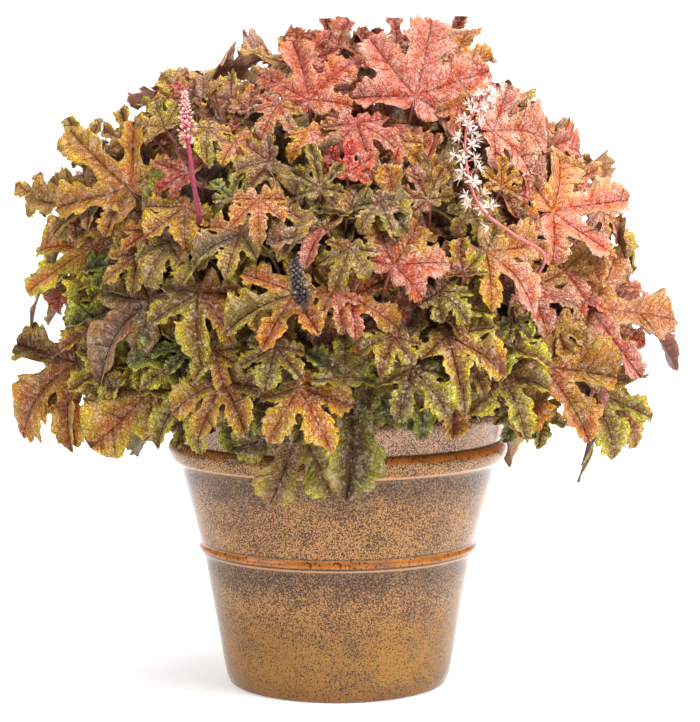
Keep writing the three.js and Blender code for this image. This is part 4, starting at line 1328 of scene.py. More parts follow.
def add_petiole(surface, leaf, settings, tones):
    steps, sides = GRADES[leaf.grade][3:]
    points = bezier(leaf.curve, np.linspace(0, 1, steps))
    points = np.vstack([points, leaf.hub - leaf.face * 0.2])
    thick = settings.petiole_radius / MM
    radii = np.linspace(thick * 1.15, thick * 0.8, len(points))
    radii[-1] = thick * 0.35
    blush = np.array(settings.petiole) * 0.7 + np.array(getattr(tones, f"{leaf.tone}_vein")) * 0.4
    add_stalk(surface, points, radii, sides, (np.array(settings.petiole_green), blush))


def leaves_of_table(rows, seed):
    return [leaf_from_row(row, seed + SEED_STEP * i) for i, row in enumerate(rows)]


def clears_pot(leaf):
    return leaf.hub[2] + leaf.forward[2] * leaf.size > LOWEST_INNER_TIP


def lay_leaves(stems):
    """Every leaf of the plant: those of the solids first, then the small and inner ones."""
    front = leaves_of_table(FRONT_LEAVES, LAYOUT_SEED)
    solid = []
    for leaf in front + filler_leaves(front, *FILLER_LAYER):
        leaf.grade = "large"
        solid.append(cleared_leaf(leaf, solid))
    spikes = np.vstack([spike_points(spike, 121) for spike in SPIKES.values()])
    route_petioles(solid, stems, spikes)
    small = leaves_of_table(SMALL_LEAVES, SMALL_LEAVES_SEED)
    behind = [
        leaf for leaf in filler_leaves(solid + small, *BEHIND_LAYER)
        if leaf.hub[1] > FOREMOST_BEHIND and clears_pot(leaf)
    ]
    for leaf in behind:
        leaf.grade = "behind"
    extra = []
    for leaf in small + behind:
        if not in_gap(leaf.hub):
            extra.append(cleared_leaf(leaf, solid + extra))
    inner = [leaf for layer in INNER_LAYERS for leaf in filler_leaves([], *layer)]
    inner = [leaf for leaf in inner if clears_pot(leaf)]
    for leaf in inner:
        leaf.grade = "deep"
        # Inner leaves take darker tones: painted shade inside the plant
        leaf.tone = PAINTED_SHADE_TONES.get(leaf.tone, leaf.tone)
    add_inner_leaves(extra + inner, stems)


# Node materials

class Finish:
    """Builds one node material around a Principled shader."""

    def __init__(self, name):
        self.material = bpy.data.materials.new(name)
        self.material.use_nodes = True
        self.tree = self.material.node_tree
        self.shader = next(n for n in self.tree.nodes if n.type == "BSDF_PRINCIPLED")

    def node(self, kind, inputs=None, **options):
        node = self.tree.nodes.new(kind)
        for key, value in options.items():
            setattr(node, key, value)
        for key, value in (inputs or {}).items():
            self.put(node.inputs[key], value)
        return node

    def put(self, socket, value):
        if isinstance(value, bpy.types.NodeSocket):
            self.tree.links.new(value, socket)
        elif socket.type == "RGBA":
            socket.default_value = (*value[:3], 1)
        else:
            socket.default_value = value

    def attribute(self, name, output="Fac"):
        return self.node("ShaderNodeAttribute", attribute_name=name).outputs[output]

    def math(self, operation, *values):
        return self.node("ShaderNodeMath", dict(enumerate(values)), operation=operation).outputs[0]

    def times(self, a, b):
        return self.math("MULTIPLY", a, b)

    def plus(self, a, factor, b):
        """b with factor times a added to it."""
        return self.math("MULTIPLY_ADD", a, factor, b)

    def ramp(self, value, low, high, start=0.0, end=1.0):
        """start below low, end above high, smooth between."""
        inputs = dict(enumerate((value, low, high, start, end)))
        return self.node("ShaderNodeMapRange", inputs, interpolation_type="SMOOTHSTEP").outputs[0]

    def mix(self, share, a, b, blend="MIX"):
        inputs = {0: share, 6: a, 7: b}
        return self.node("ShaderNodeMix", inputs, data_type="RGBA", blend_type=blend).outputs[2]

    def over(self, color, mask, share, tint):
        """The colour with a share of the tint over it where the mask is 1."""
        return self.mix(self.times(mask, share), color, tint)

    def dyed(self, color, dye):
        return self.mix(1.0, color, dye, "MULTIPLY")

    def gray(self, value):
        return self.node("ShaderNodeCombineColor", {0: value, 1: value, 2: value}).outputs[0]

    def noise(self, vector, scale, detail=2.0, roughness=0.5, distortion=0.0):
        return self.node("ShaderNodeTexNoise", {
            "Vector": vector, "Scale": scale, "Detail": detail, "Roughness": roughness,
            "Distortion": distortion,
        }).outputs["Fac"]

    def net(self, vector, scale, low, high):
        """1 on the fine lines between irregular cells, 0 inside them."""
        inputs = {"Vector": vector, "Scale": scale}
        cells = self.node("ShaderNodeTexVoronoi", inputs, feature="DISTANCE_TO_EDGE")
        return self.ramp(cells.outputs["Distance"], low, high, 1, 0)

    def stretched(self, vector, scale):
        return self.node("ShaderNodeMapping", {"Vector": vector, "Scale": scale}).outputs[0]

    def place(self):
        return self.node("ShaderNodeTexCoord").outputs["Object"]

    def bump(self, height, strength, distance):
        inputs = {"Height": height, "Strength": strength, "Distance": distance}
        return self.node("ShaderNodeBump", inputs).outputs[0]

    def finish(self, color, roughness, normal, **fixed):
        fixed.update(Base_Color=color, Roughness=roughness, Normal=normal)
        for key, value in fixed.items():
            self.put(self.shader.inputs[key.replace("_", " ")], value)
        return self.material


def leaf_blade_material(settings):
    """Mottled blade with darker midribs, side veins and a fine net between them, and pale painted
    glints and sheen.
    """
    f = Finish("leaf_blade")
    rib, across = f.attribute("rib"), f.attribute("across")
    edge, reach = f.attribute("edge"), f.attribute("reach")
    chance, under = f.attribute("chance"), f.attribute("under")
    blade, margin = f.attribute("blade_tint", "Color"), f.attribute("margin_tint", "Color")
    vein = f.attribute("vein_tint", "Color")
    place = f.place()
    broad = f.noise(place, 48, 3, 0.6)
    patch = f.noise(place, 130, 4, 0.68)
    fine = f.noise(place, 480, 3, 0.65)
    grain = f.noise(place, 1250, 2, 0.6)

    width = f.ramp(reach, 0, 1, 0.014, 0.0045)
    midrib = f.ramp(f.math("DIVIDE", across, width), 0.4, 1.5, 1, 0)
    drift = f.plus(patch, 0.5, f.math("DIVIDE", rib, SIDE_VEIN_GAP))
    phase = f.math("FRACT", f.math("ADD", drift, 0.25))
    phase = f.math("ABSOLUTE", f.math("SUBTRACT", phase, 0.5))
    side_vein = f.times(f.ramp(phase, 0.02, 0.085, 1, 0), f.ramp(edge, 0.3, 1, 1, 0.4))
    net = f.net(place, 360, 0.02, 0.13)
    mesh = f.net(place, 820, 0.03, 0.16)

    halo = f.ramp(f.plus(patch, 0.12, across), 0.07, 0.25, 1, 0)
    heart = f.ramp(f.plus(broad, 0.9, reach), 0.6, 1.15, 1, 0)
    shade = f.math("MAXIMUM", f.times(halo, 0.74), f.times(heart, 0.8))
    shade = f.times(shade, f.ramp(chance, 0, 0.9, 0.12, 1))
    toward = f.ramp(f.plus(patch, 1.5, edge), 1.08, 1.68)
    color = f.mix(toward, blade, margin)
    green = f.ramp(f.plus(chance, 0.16, broad), 0.54, 0.68, 0, 0.6)
    green = f.times(green, f.ramp(chance, 0.02, 0.3, 0.2, 1))
    color = f.mix(green, color, f.mix(0.5, margin, settings.patch))
    color = f.mix(shade, color, vein)
    vivid = f.node("ShaderNodeHueSaturation", {"Color": color, "Saturation": 1.5, "Value": 0.84})
    color = f.mix(f.ramp(f.plus(fine, 0.3, patch), 0.56, 0.76), color, vivid.outputs[0])
    light = f.ramp(f.plus(fine, 0.4, grain), 0.57, 0.83)
    low = f.mix(0.12, f.dyed(color, (0.66, 0.56, 0.34)), vein)
    color = f.mix(light, low, f.dyed(color, (1.18, 1.18, 1.22)))
    dark = f.dyed(vein, (0.5, 0.42, 0.45))
    color = f.over(color, side_vein, 0.26, dark)
    color = f.over(color, net, 0.3, dark)
    color = f.over(color, mesh, 0.24, dark)
    color = f.mix(f.times(midrib, f.ramp(chance, 0, 0.8, 0.26, 0.62)), color, dark)
    # Painted glints and sheen: pale flecks mixed into the colour on raised, noisy spots, standing
    # in for highlights
    painted_sheen = f.ramp(f.plus(f.noise(place, 210, 2, 0.6), 0.9, fine), 0.92, 1.2, 0.0, 0.32)
    painted_glint = f.math("ADD", painted_sheen, f.ramp(f.plus(fine, 0.8, grain), 1.0, 1.25, 0, 0.36))
    color = f.mix(painted_glint, color, settings.painted_glint)
    pale = f.mix(0.45, color, settings.under)
    color = f.over(color, under, 0.8, pale)

    relief = f.plus(midrib, -0.7, f.times(side_vein, -0.7))
    relief = f.plus(net, -0.45, relief)
    relief = f.plus(mesh, -0.25, relief)
    relief = f.plus(fine, 0.4, relief)
    relief = f.plus(grain, 0.3, relief)
    normal = f.bump(relief, 1.0, 0.0012)
    roughness = f.ramp(fine, 0.3, 0.7, 0.3, 0.48)
    return f.finish(color, roughness, normal, Specular_IOR_Level=0.42)


def leaf_stalk_material():
    """Downy leaf stalk, pink to olive, with fine lengthwise streaks."""
    f = Finish("leaf_stalk")
    place = f.place()
    streak = f.noise(f.stretched(place, (1, 1, 0.12)), 900, 3)
    tint = f.attribute("blade_tint", "Color")
    dark = f.dyed(tint, (0.55, 0.42, 0.42))
    color = f.mix(f.ramp(streak, 0.35, 0.65), tint, dark)
    down = f.noise(place, 2600, 2)
    normal = f.bump(f.plus(streak, 0.5, down), 0.5, 0.0004)
    return f.finish(color, 0.55, normal, Specular_IOR_Level=0.4)


# Pot

POT_SIDES = 192
DRAIN_CIRCLE = 38

# The pot's outline as steps outwards and upwards from its foot, ridge, bead and lip
FOOT_STEPS = ((-4.5, 0), (-2.4, 0.25), (-1.0, 1.1), (-0.2, 2.6), (0.25, 4.5))
RIDGE_STEPS = (
    (-2.7, -4.6), (-2.2, -4.0), (-1.7, -3.4), (-1.6, -2.6), (-0.7, -1.8), (-0.1, -0.8), (0, 0.2),
    (-0.3, 1.2), (-0.8, 2.0), (-1.0, 2.9), (-0.9, 4),
)
BEAD_STEPS = (
    (-7.0, -9.6), (-5.9, -8.7), (-4.3, -8.0), (-2.6, -6.6), (-1.2, -4.5), (-0.3, -2.0), (0, 0.4),
    (-0.4, 2.6), (-1.4, 4.4), (-2.7, 5.6), (-3.6, 6.3), (-3.8, 7.2), (-3.2, 8.2), (-2.4, 10),
)
LIP_STEPS = (
    (-2.1, -11), (-1.4, -9), (-0.6, -7.4), (-0.1, -5.6), (0, -3.8), (-0.5, -1.9), (-1.7, -0.6),
    (-3.2, -0.05), (-4.8, -0.7), (-6.2, -2.2), (-7.6, -5),
)


def stepped(radius, z, steps):
    return [(radius + out, z + up) for out, up in steps]


def pot_profile(settings):
    """Outline of the pot from the middle of its foot, over the lip, to its inside floor."""
    height, base = settings.height / MM, settings.base_radius / MM
    ridge, ridge_z = settings.ridge_radius / MM, settings.ridge_height / MM
    bead, bead_z = settings.bead_radius / MM, settings.bead_height / MM
    floor, wall = settings.floor / MM, settings.wall / MM
    outline = [(0, 0), (base * 0.5, 0)] + stepped(base, 0, FOOT_STEPS)
    for share in np.linspace(0.06, 0.93, 18):
        outline.append((base + (ridge - 2.6 - base) * share, ridge_z * share))
    outline += stepped(ridge, ridge_z, RIDGE_STEPS)
    low, high = ridge - 0.9, bead - 7.3
    for share in np.linspace(0.08, 0.96, 12):
        rise = (bead_z - 14 - ridge_z) * share
        outline.append((low + (high - low) * share, ridge_z + 4 + rise))
    outline += stepped(bead, bead_z, BEAD_STEPS)
    outline += stepped(settings.lip_radius / MM, height, LIP_STEPS)
    return outline + [
        (bead - 9.5, bead_z), (base + 1.5 - wall, floor + 2.5), (base - 1.5 - wall, floor),
        (base * 0.4, floor), (0, floor),
    ]


def lathe(profile, sides):
    """Places and faces of a closed turned solid; the profile starts and ends on the axis."""
    ring = np.array(profile[1:-1])
    angle = np.linspace(0, 2 * math.pi, sides, endpoint=False)
    places = np.stack([
        np.outer(ring[:, 0], np.cos(angle)), np.outer(ring[:, 0], np.sin(angle)),
        np.repeat(ring[:, 1:], sides, axis=1),
    ], -1).reshape(-1, 3)
    ends = [(0, 0, profile[0][1]), (0, 0, profile[-1][1])]
    total = len(places)
    places = np.vstack([places, ends])
    j = np.arange(sides)
    k = (j + 1) % sides
    last = (len(ring) - 1) * sides
    first_fan = np.stack([np.full(sides, total), k, j], -1)
    last_fan = np.stack([np.full(sides, total + 1), last + j, last + k], -1)
    return places, [grid_faces(len(ring), sides), first_fan, last_fan]


def cut_drain_holes(piece, settings):
    """Three holes through the floor, cut by the modifier and applied."""
    cutter = Surface()
    for i in range(3):
        middle = on_circle(DRAIN_CIRCLE, 90 + 120 * i)
        points = middle + np.outer(np.linspace(-1, settings.floor / MM + 1, 2), UP)
        cutter.tube(points, (settings.drain_radius / MM,) * 2, 32)
    tool = cutter.build("drain_cutter", [])
    cut = piece.modifiers.new("drain holes", "BOOLEAN")
    cut.operation = "DIFFERENCE"
    cut.solver = "EXACT"
    cut.object = tool
    graph = bpy.context.evaluated_depsgraph_get()
    whole = bpy.data.meshes.new_from_object(piece.evaluated_get(graph))
    piece.modifiers.clear()
    piece.data = whole
    bpy.data.objects.remove(tool)


def glaze_material(settings):
    """Speckled glaze: tan above, ochre below, grey under the ridges, amber over them."""
    f = Finish("pot_glaze")
    place = f.place()
    x, _, height = f.node("ShaderNodeSeparateXYZ", {0: place}).outputs
    drift = f.noise(place, 26, 3, 0.6)
    level = f.plus(drift, 0.022, f.math("SUBTRACT", height, 0.011))
    ridge, bead = settings.ridge_height, settings.bead_height

    color = f.mix(f.ramp(level, 0.038, 0.072), settings.lower, settings.ground)
    color = f.mix(f.ramp(level, 0.0, 0.016, 1, 0), color, settings.foot)
    under_ridge = f.ramp(level, ridge - 0.03, ridge - 0.006)
    under_ridge = f.times(under_ridge, f.ramp(height, ridge - 0.001, ridge, 1, 0))
    under_bead = f.ramp(level, bead - 0.034, bead - 0.012)
    under_bead = f.times(under_bead, f.ramp(height, bead - 0.008, bead - 0.006, 1, 0))
    grey = f.times(f.math("MAXIMUM", under_ridge, under_bead), 0.66)
    color = f.mix(grey, color, settings.grey)
    collar = f.ramp(height, bead + 0.005, bead + 0.008)
    color = f.over(color, collar, 0.5, settings.collar)

    wall = f.noise(place, 1180, 1.0, 0.35, 0.4)
    worms = f.mix(collar, f.gray(wall), f.gray(f.noise(place, 1500, 1.0, 0.4, 0.4)))
    worms = f.node("ShaderNodeSeparateColor", {0: worms}).outputs[0]
    density = f.ramp(level, 0.02, 0.066, 0.42, 0.51)
    density = f.plus(grey, 0.05, density)
    patches = f.noise(place, 42, 5, 0.72)
    density = f.plus(f.math("SUBTRACT", patches, 0.5), 0.28, density)
    specks = f.ramp(f.math("SUBTRACT", density, worms), -0.01, 0.022)
    cloud = f.times(f.ramp(patches, 0.45, 0.7), f.ramp(level, 0.03, 0.08, 0.55, 0.1))
    color = f.mix(cloud, color, settings.grey)
    color = f.over(color, specks, 0.94, settings.speck)

    def band(low, high, soft):
        """1 where the height lies between low and high, with soft edges."""
        above = f.ramp(height, low - soft, low + soft)
        return f.times(above, f.ramp(height, high - soft, high + soft, 1, 0))

    pooled = f.plus(x, -0.022, f.plus(drift, 0.006, bead - 0.0005))
    over_bead = f.ramp(f.math("SUBTRACT", height, pooled), -0.0004, 0.0008)
    over_bead = f.times(over_bead, f.ramp(height, bead + 0.0054, bead + 0.0064, 1, 0))
    amber = f.math("MAXIMUM", band(ridge - 0.0014, ridge + 0.0034, 0.0005), over_bead)
    drops = f.ramp(f.noise(place, 520, 1, 0.5), 0.58, 0.63, 1, 0.2)
    deep = f.mix(0.4, settings.amber, settings.speck)
    rich = f.mix(f.ramp(f.noise(place, 60, 3, 0.6), 0.35, 0.65), settings.amber, deep)
    color = f.mix(amber, color, f.mix(drops, settings.speck, rich))
    pale = band(ridge - 0.0042, ridge - 0.0028, 0.0004)
    pale = f.math("MAXIMUM", pale, band(bead - 0.0082, bead - 0.0064, 0.0005))
    color = f.over(color, pale, 0.55, settings.edge_line)
    dark = band(ridge - 0.0026, ridge - 0.0016, 0.0004)
    dark = f.math("MAXIMUM", dark, band(ridge + 0.0036, ridge + 0.0046, 0.0006))
    dark = f.math("MAXIMUM", dark, band(bead + 0.0056, bead + 0.0068, 0.0005))
    color = f.over(color, dark, 0.7, settings.speck)

    swell = f.noise(place, 9, 2, 0.5)
    skin = f.plus(specks, 0.05, swell)
    normal = f.bump(skin, 0.22, 0.004)
    roughness = f.ramp(specks, 0, 1, 0.07, 0.12)
    return f.finish(color, roughness, normal, Specular_IOR_Level=0.28)


# Soil

SOIL_RADIUS = 94.5
SOIL_FOOT = 8.4
SOIL_SIDES = 120
CRUMBS = 420
CRUMB_FACES = np.array([
    (0, 3, 2, 1), (4, 5, 6, 7), (0, 1, 5, 4), (1, 2, 6, 5), (2, 3, 7, 6), (3, 0, 4, 7)
])


def soil_material():
    f = Finish("potting_soil")
    place = f.place()
    lumps = f.noise(place, 240, 6, 0.75)
    fibre = f.noise(f.stretched(place, (1, 4, 1)), 700, 4)
    color = f.mix(f.ramp(lumps, 0.35, 0.65), (0.012, 0.008, 0.006), (0.055, 0.032, 0.018))
    color = f.mix(f.ramp(fibre, 0.6, 0.72), color, (0.13, 0.075, 0.035))
    normal = f.bump(f.plus(fibre, 0.4, lumps), 0.9, 0.002)
    return f.finish(color, 0.92, normal, Specular_IOR_Level=0.2)


def add_crumb(surface, place, size, draw):
    """A rough lump of soil with eight uneven corners."""
    corners = []
    for z in (-1, 1):
        for x, y in ((-1, -1), (1, -1), (1, 1), (-1, 1)):
            corners.append([v * size * (0.5 + 0.5 * next(draw)) for v in (x, y, z)])
    surface.add(place + np.array(corners), [CRUMB_FACES])


def build_soil():
    surface = Surface()
    draw = random_stream(SOIL_SEED)
    rings = [
        (4.0, SOIL_FOOT), (66, SOIL_FOOT), (80, 90), (SOIL_RADIUS - 1, 150), (SOIL_RADIUS, 158),
        (SOIL_RADIUS, 165.2),
    ]
    middle = SOIL_TOP - 1.5
    rings += [(SOIL_RADIUS * share, middle) for share in np.linspace(0.985, 0.03, 26)]
    places, faces = lathe([(0, SOIL_FOOT)] + rings + [(0, middle)], SOIL_SIDES)
    top = places[:, 2] > SOIL_TOP - 2
    places[top, 2] += np.array([2.6 * (next(draw) - 0.5) for _ in range(int(top.sum()))])
    surface.add(places, faces)
    for _ in range(CRUMBS):
        radius = (SOIL_RADIUS - 3) * math.sqrt(next(draw))
        place = on_circle(radius, 360 * next(draw), SOIL_TOP - 1.2 + 0.6 * next(draw))
        add_crumb(surface, place, 0.7 + 1.1 * next(draw), draw)
    return surface.build("potting_soil", [soil_material()], smooth=False)


# Flowers

def flower_material(name, tint, dye, roughness):
    """Thin petal or bud skin with faint streaks of its own colour times the dye."""
    f = Finish(name)
    place = f.place()
    streak = f.noise(place, 900, 3, 0.6)
    color = f.mix(f.ramp(streak, 0.35, 0.7), tint, np.array(tint) * dye)
    normal = f.bump(streak, 0.3, 0.0003)
    return f.finish(color, roughness, normal, Specular_IOR_Level=0.35)


def add_bud(surface, root, out, along, length, width, tip):
    """A small bud on a short stalk: a rounded calyx with the petals' pale tip above it."""
    axis = unit(out + along * 0.5)
    neck = max(0.3 * length, length - 2.7 * width)
    reach = np.array((0.0, neck / 2, neck))
    surface.tube(root + np.outer(reach, axis), (0.34, 0.3, 0.36), 5)
    reach = neck + np.array((-0.1, 0.2, 0.7, 1.3, 1.8, 2.1)) * width
    widths = np.array((0.25, 0.7, 1.0, 0.98, 0.7, 0.3)) * width
    surface.tube(root + np.outer(reach, axis), widths, 7, 1)
    reach = neck + np.array((1.5, 1.95, 2.35, 2.7)) * width
    widths = np.array((0.74, 0.64, 0.4, 0.06)) * width
    surface.tube(root + np.outer(reach, axis), widths, 6, tip)


def add_petal(surface, root, direction, face, length, slot):
    """One narrow pointed petal, slightly cupped, as a thin closed blade."""
    side = unit(np.cross(face, direction))
    shares = np.array((0.0, 0.25, 0.5, 0.75, 1.0))
    widths = np.array((0.05, 0.12, 0.15, 0.11, 0.02)) * length
    arch = np.array((0.0, 0.1, 0.13, 0.1, 0.02)) * length
    middle = root + np.outer(shares * length, direction) + np.outer(arch, face)
    rows = []
    for point, width in zip(middle, widths):
        wide = side * width
        rows.append([point - wide, point + face * 0.1, point + wide, point - face * 0.12])
    places = np.array(rows).reshape(-1, 3)
    caps = np.array([(0, 1, 2, 3), (19, 18, 17, 16)])
    surface.add(places, [grid_faces(5, 4)[:, ::-1], caps], slot)


def add_floret(surface, root, out, along, size, draw):
    """A star floret: pedicel, five petals and long stamens with coloured tips."""
    face = unit(out + along * 0.35)
    center = root + face * size * (0.75 + 0.5 * next(draw))
    surface.tube(np.linspace(root, center, 4), (0.35, 0.3, 0.4, 0.55), 5)
    side = unit(np.cross(face, vec(0.2, 0.1, 1)))
    up = np.cross(face, side)
    turn = 2 * math.pi * next(draw)
    for i in range(5):
        across = turned(side, up, turn + 2 * math.pi * i / 5)
        direction = unit(across + face * (0.25 + 0.2 * next(draw)))
        add_petal(surface, center, direction, face, size * (0.85 + 0.25 * next(draw)), 1)
    for i in range(7):
        direction = unit(turned(side, up, turn + 2 * math.pi * (i + 0.5) / 7) + face * 1.5)
        tip = center + direction * size * 0.95
        surface.tube(np.linspace(center, tip, 3), (0.17, 0.15, 0.13), 4, 1)
        surface.tube(tip + np.outer((-0.35, 0, 0.35), direction), (0.12, 0.36, 0.12), 5, 2)


def spaced(points, share):
    """The point at a share of the polyline's length, and its direction there."""
    steps = np.linalg.norm(np.diff(points, axis=0), axis=1)
    length = np.concatenate([[0], np.cumsum(steps)])
    target = share * length[-1]
    place = np.array([np.interp(target, length, points[:, i]) for i in range(3)])
    i = min(len(steps) - 1, int(np.searchsorted(length, target)))
    return place, unit(points[i + 1 if i + 1 < len(points) else i] - points[i - 1])


def round_stalk(along, i):
    first = unit(np.cross(along, vec(0, 1, 0.2)))
    second = np.cross(along, first)
    return turned(first, second, math.radians(GOLDEN_ANGLE * i))


# Operators

class PLANT_OT_pot(bpy.types.Operator):
    """Makes the glazed pot with its bead, ridge, lip and drain holes"""

    bl_idname = "plant.pot"
    bl_label = "Glazed pot"

    def execute(self, context):
        settings = context.scene.plant_pot
        surface = Surface()
        surface.add(*lathe(pot_profile(settings), POT_SIDES))
        piece = surface.build("glazed_pot", [glaze_material(settings)])
        cut_drain_holes(piece, settings)
        settle(piece, "pot_glaze", "pot")
        return {"FINISHED"}


class PLANT_OT_soil(bpy.types.Operator):
    """Makes the potting soil with its crumbs"""

    bl_idname = "plant.soil"
    bl_label = "Potting soil"

    def execute(self, context):
        settle(build_soil(), "soil", "soil")
        return {"FINISHED"}


class PLANT_OT_leaves(bpy.types.Operator):
    """Makes the leafy stems with all their leaves, one piece for each stem"""

    bl_idname = "plant.leaves"
    bl_label = "Leafy stems"

    def execute(self, context):
        settings, tones = context.scene.plant_leaf, context.scene.plant_tones
        stems = stem_axes()
        lay_leaves(stems)
        slots = {entry["node"]: entry["material_slot"] for entry in frame["record"]["subparts"]}
        materials = [leaf_blade_material(settings), leaf_stalk_material()]
        green = np.array(settings.petiole_green)
        thick = settings.stem_radius / MM
        for index, stem in enumerate(stems):
            surface = Surface()
            points = bezier(stem.controls, np.linspace(0, 1, 16))
            radii = np.linspace(thick, thick * 0.7, 16)
            add_stalk(surface, points, radii, 10, (green * 0.5, green))
            for leaf in stem.leaves:
                add_petiole(surface, leaf, settings, tones)
                add_blade(surface, leaf, settings, tones)
            node = f"leafy_stem_{index + 1:02d}"
            settle(surface.build(f"{node}_leaves", materials), slots[node], node)
        return {"FINISHED"}


class PLANT_OT_flowers(bpy.types.Operator):
    """Makes the three flower spikes with their buds and star florets"""

    bl_idname = "plant.flowers"
    bl_label = "Flower spikes"

    def execute(self, context):
        settings = context.scene.plant_flower
        self.budding("flower_spike_pink", "flower_pink", settings.magenta, settings.bud,
                     settings.bud_tip, settings.bud_size / MM)
        self.budding("flower_spike_dark", "flower_dark", settings.dark, settings.dark,
                     settings.dark_tip, settings.dark_bud_size / MM)
        self.flowering(settings)
        return {"FINISHED"}

    def stalk(self, name, surface):
        spike = SPIKES[name]
        points = spike_points(spike, 90)
        radii = np.linspace(spike["radius"], spike["radius"] * SPIKE_TAPER, len(points))
        surface.tube(points, radii, 10)
        return spike, points

    def budding(self, name, slot, stalk, bud, tip, size):
        surface = Surface()
        spike, points = self.stalk(name, surface)
        draw = random_stream(BUDS_SEED)
        for i in range(spike["count"]):
            rise = ((i + 0.5) / spike["count"]) ** spike["crowding"]
            root, along = spaced(points, spike["from"] + (0.999 - spike["from"]) * rise)
            narrowing = 1 - spike["taper"] * rise
            length = size * narrowing * (0.45 + 0.8 * next(draw))
            width = spike["bud"] * (0.75 + 0.4 * next(draw)) * (1 - 0.3 * rise)
            # Pale tips from pale_from upwards: the buds' own pale tips, and on the dark spike
            # partly a painted highlight on its top
            pale = rise + 0.3 * next(draw) >= spike["pale_from"]
            add_bud(surface, root, round_stalk(along, i), along, length, width, 2 if pale else 1)
        materials = [
            flower_material(f"{name}_stalk", stalk, 0.5, 0.45),
            flower_material(f"{name}_bud", bud, (0.75, 0.4, 0.42), 0.5),
            flower_material(f"{name}_tip", tip, (0.9, 0.75, 0.7), 0.5),
        ]
        settle(surface.build(f"{name}_buds", materials), slot, name)

    def flowering(self, settings):
        name = "flower_spike_white"
        surface = Surface()
        spike, points = self.stalk(name, surface)
        draw = random_stream(FLORETS_SEED)
        size = settings.star_size / MM
        for i in range(spike["count"]):
            share = spike["from"] + (0.995 - spike["from"]) * ((i + 0.5) / spike["count"]) ** 0.75
            root, along = spaced(points, share)
            narrowing = 1 - 0.25 * i / spike["count"]
            add_floret(surface, root, round_stalk(along, i), along, size * narrowing, draw)
        materials = [
            flower_material(f"{name}_stalk", settings.stalk, 0.6, 0.45),
            flower_material(f"{name}_petal", settings.petal, (0.97, 0.88, 0.86), 0.55),
            flower_material(f"{name}_anther", settings.anther, 0.6, 0.6),
        ]
        settle(surface.build(f"{name}_florets", materials), "flower_white", name)


def soft_light(name, place, target, size, power):
    """A square softbox at a place, turned to its target."""
    light = bpy.data.lights.new(name, "AREA")
    light.shape = "SQUARE"
    light.size = size
    light.energy = power
    holder = bpy.data.objects.new(name, light)
    holder.location = place
    holder.rotation_euler = (Vector(target) - Vector(place)).to_track_quat("-Z", "Y").to_euler()
    bpy.context.scene.collection.objects.link(holder)


def backdrop(settings):
    """A floor that turns up into a wall behind the plant in one sweep, in metres."""
    half, start, sweep, top = 3.0, 2.6, 0.9, 4.0
    profile = [(-half, 0.0), (start, 0.0)]
    for step in range(1, 17):
        angle = math.radians(90 * step / 16)
        profile.append((start + sweep * math.sin(angle), sweep * (1 - math.cos(angle))))
    profile.append((start + sweep, top))
    places = [(x, y, z) for y, z in profile for x in (-half, half)]
    faces = [(2 * i, 2 * i + 1, 2 * i + 3, 2 * i + 2) for i in range(len(profile) - 1)]
    mesh = bpy.data.meshes.new("studio_floor")
    mesh.from_pydata(places, [], faces)
    mesh.polygons.foreach_set("use_smooth", np.full(len(faces), True))
    f = Finish("studio_paper")
    tooth = f.noise(f.place(), 300, 3)
    mesh.materials.append(f.finish(
        settings.floor, 0.9, f.bump(tooth, 0.05, 0.001),
        Emission_Color=(1, 1, 1), Emission_Strength=settings.glow,
    ))
    piece = bpy.data.objects.new("studio_floor", mesh)
    bpy.context.scene.collection.objects.link(piece)


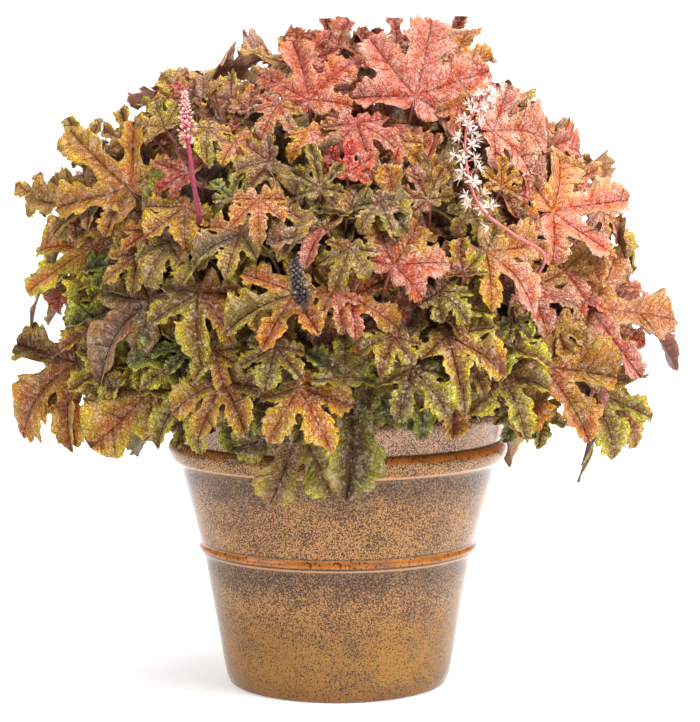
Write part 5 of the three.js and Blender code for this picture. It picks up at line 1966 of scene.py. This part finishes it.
class PLANT_OT_stage(bpy.types.Operator):
    """Sets the camera, the pale floor and the studio lights"""

    bl_idname = "plant.stage"
    bl_label = "Studio"

    def execute(self, context):
        settings = context.scene.plant_stage
        camera = bpy.data.cameras.new("camera")
        camera.lens = settings.lens
        camera.sensor_width = 36
        camera.clip_end = 20
        holder = bpy.data.objects.new("camera", camera)
        holder.location = settings.eye
        holder.rotation_euler = (math.radians(90) - settings.pitch, 0, 0)
        context.scene.collection.objects.link(holder)
        context.scene.camera = holder
        backdrop(settings)
        middle, upper = (0, 0, 0.22), (0, 0, 0.33)
        soft_light("overhead_softbox", (0.75, -0.7, 1.5), middle, 1.1, settings.key)
        soft_light("front_softbox", (1.15, -1.2, 0.45), middle, 1.0, settings.fill)
        soft_light("left_panel", (-1.2, -0.6, 0.95), upper, 0.9, settings.rim)
        soft_light("right_panel", (1.3, -0.1, 1.1), upper, 0.8, settings.rim * 0.2)
        soft_light("back_softbox", (0, 0.55, 1.9), (0, 1.3, 0.4), 1.6, 16)
        soft_light("backdrop_light", (0, 1.7, 2.6), (0, 3.0, 0.3), 2.2, 62)
        world = bpy.data.worlds.new("studio")
        world.use_nodes = True
        back = world.node_tree.nodes["Background"]
        back.inputs[0].default_value = (1, 1, 1, 1)
        back.inputs[1].default_value = settings.sky
        context.scene.world = world
        context.scene.view_settings.view_transform = "Standard"
        return {"FINISHED"}


class PLANT_PT_panel(bpy.types.Panel):
    """Lists the plant's pieces and settings"""

    bl_idname = "PLANT_PT_panel"
    bl_label = "Potted plant"
    bl_space_type = "VIEW_3D"
    bl_region_type = "UI"
    bl_category = "Potted plant"

    def draw(self, context):
        for operator in OPERATORS:
            self.layout.operator(operator.bl_idname)
        for key in SETTINGS:
            group = getattr(context.scene, key)
            box = self.layout.box()
            for name in group.__annotations__:
                box.prop(group, name)


SETTINGS = {
    "plant_pot": PotSettings, "plant_leaf": LeafSettings, "plant_tones": ToneSettings,
    "plant_flower": FlowerSettings, "plant_stage": StageSettings,
}
OPERATORS = (PLANT_OT_stage, PLANT_OT_pot, PLANT_OT_soil, PLANT_OT_leaves, PLANT_OT_flowers)


def register():
    for group in SETTINGS.values():
        bpy.utils.register_class(group)
    for key, group in SETTINGS.items():
        setattr(bpy.types.Scene, key, PointerProperty(type=group))
    for operator in OPERATORS:
        bpy.utils.register_class(operator)
    bpy.utils.register_class(PLANT_PT_panel)


def unregister():
    bpy.utils.unregister_class(PLANT_PT_panel)
    for operator in reversed(OPERATORS):
        bpy.utils.unregister_class(operator)
    for key in SETTINGS:
        delattr(bpy.types.Scene, key)
    for group in reversed(tuple(SETTINGS.values())):
        bpy.utils.unregister_class(group)


def main():
    register()
    bpy.ops.plant.stage()
    bpy.ops.plant.pot()
    bpy.ops.plant.soil()
    bpy.ops.plant.leaves()
    bpy.ops.plant.flowers()


if __name__ == "__main__":
    main()
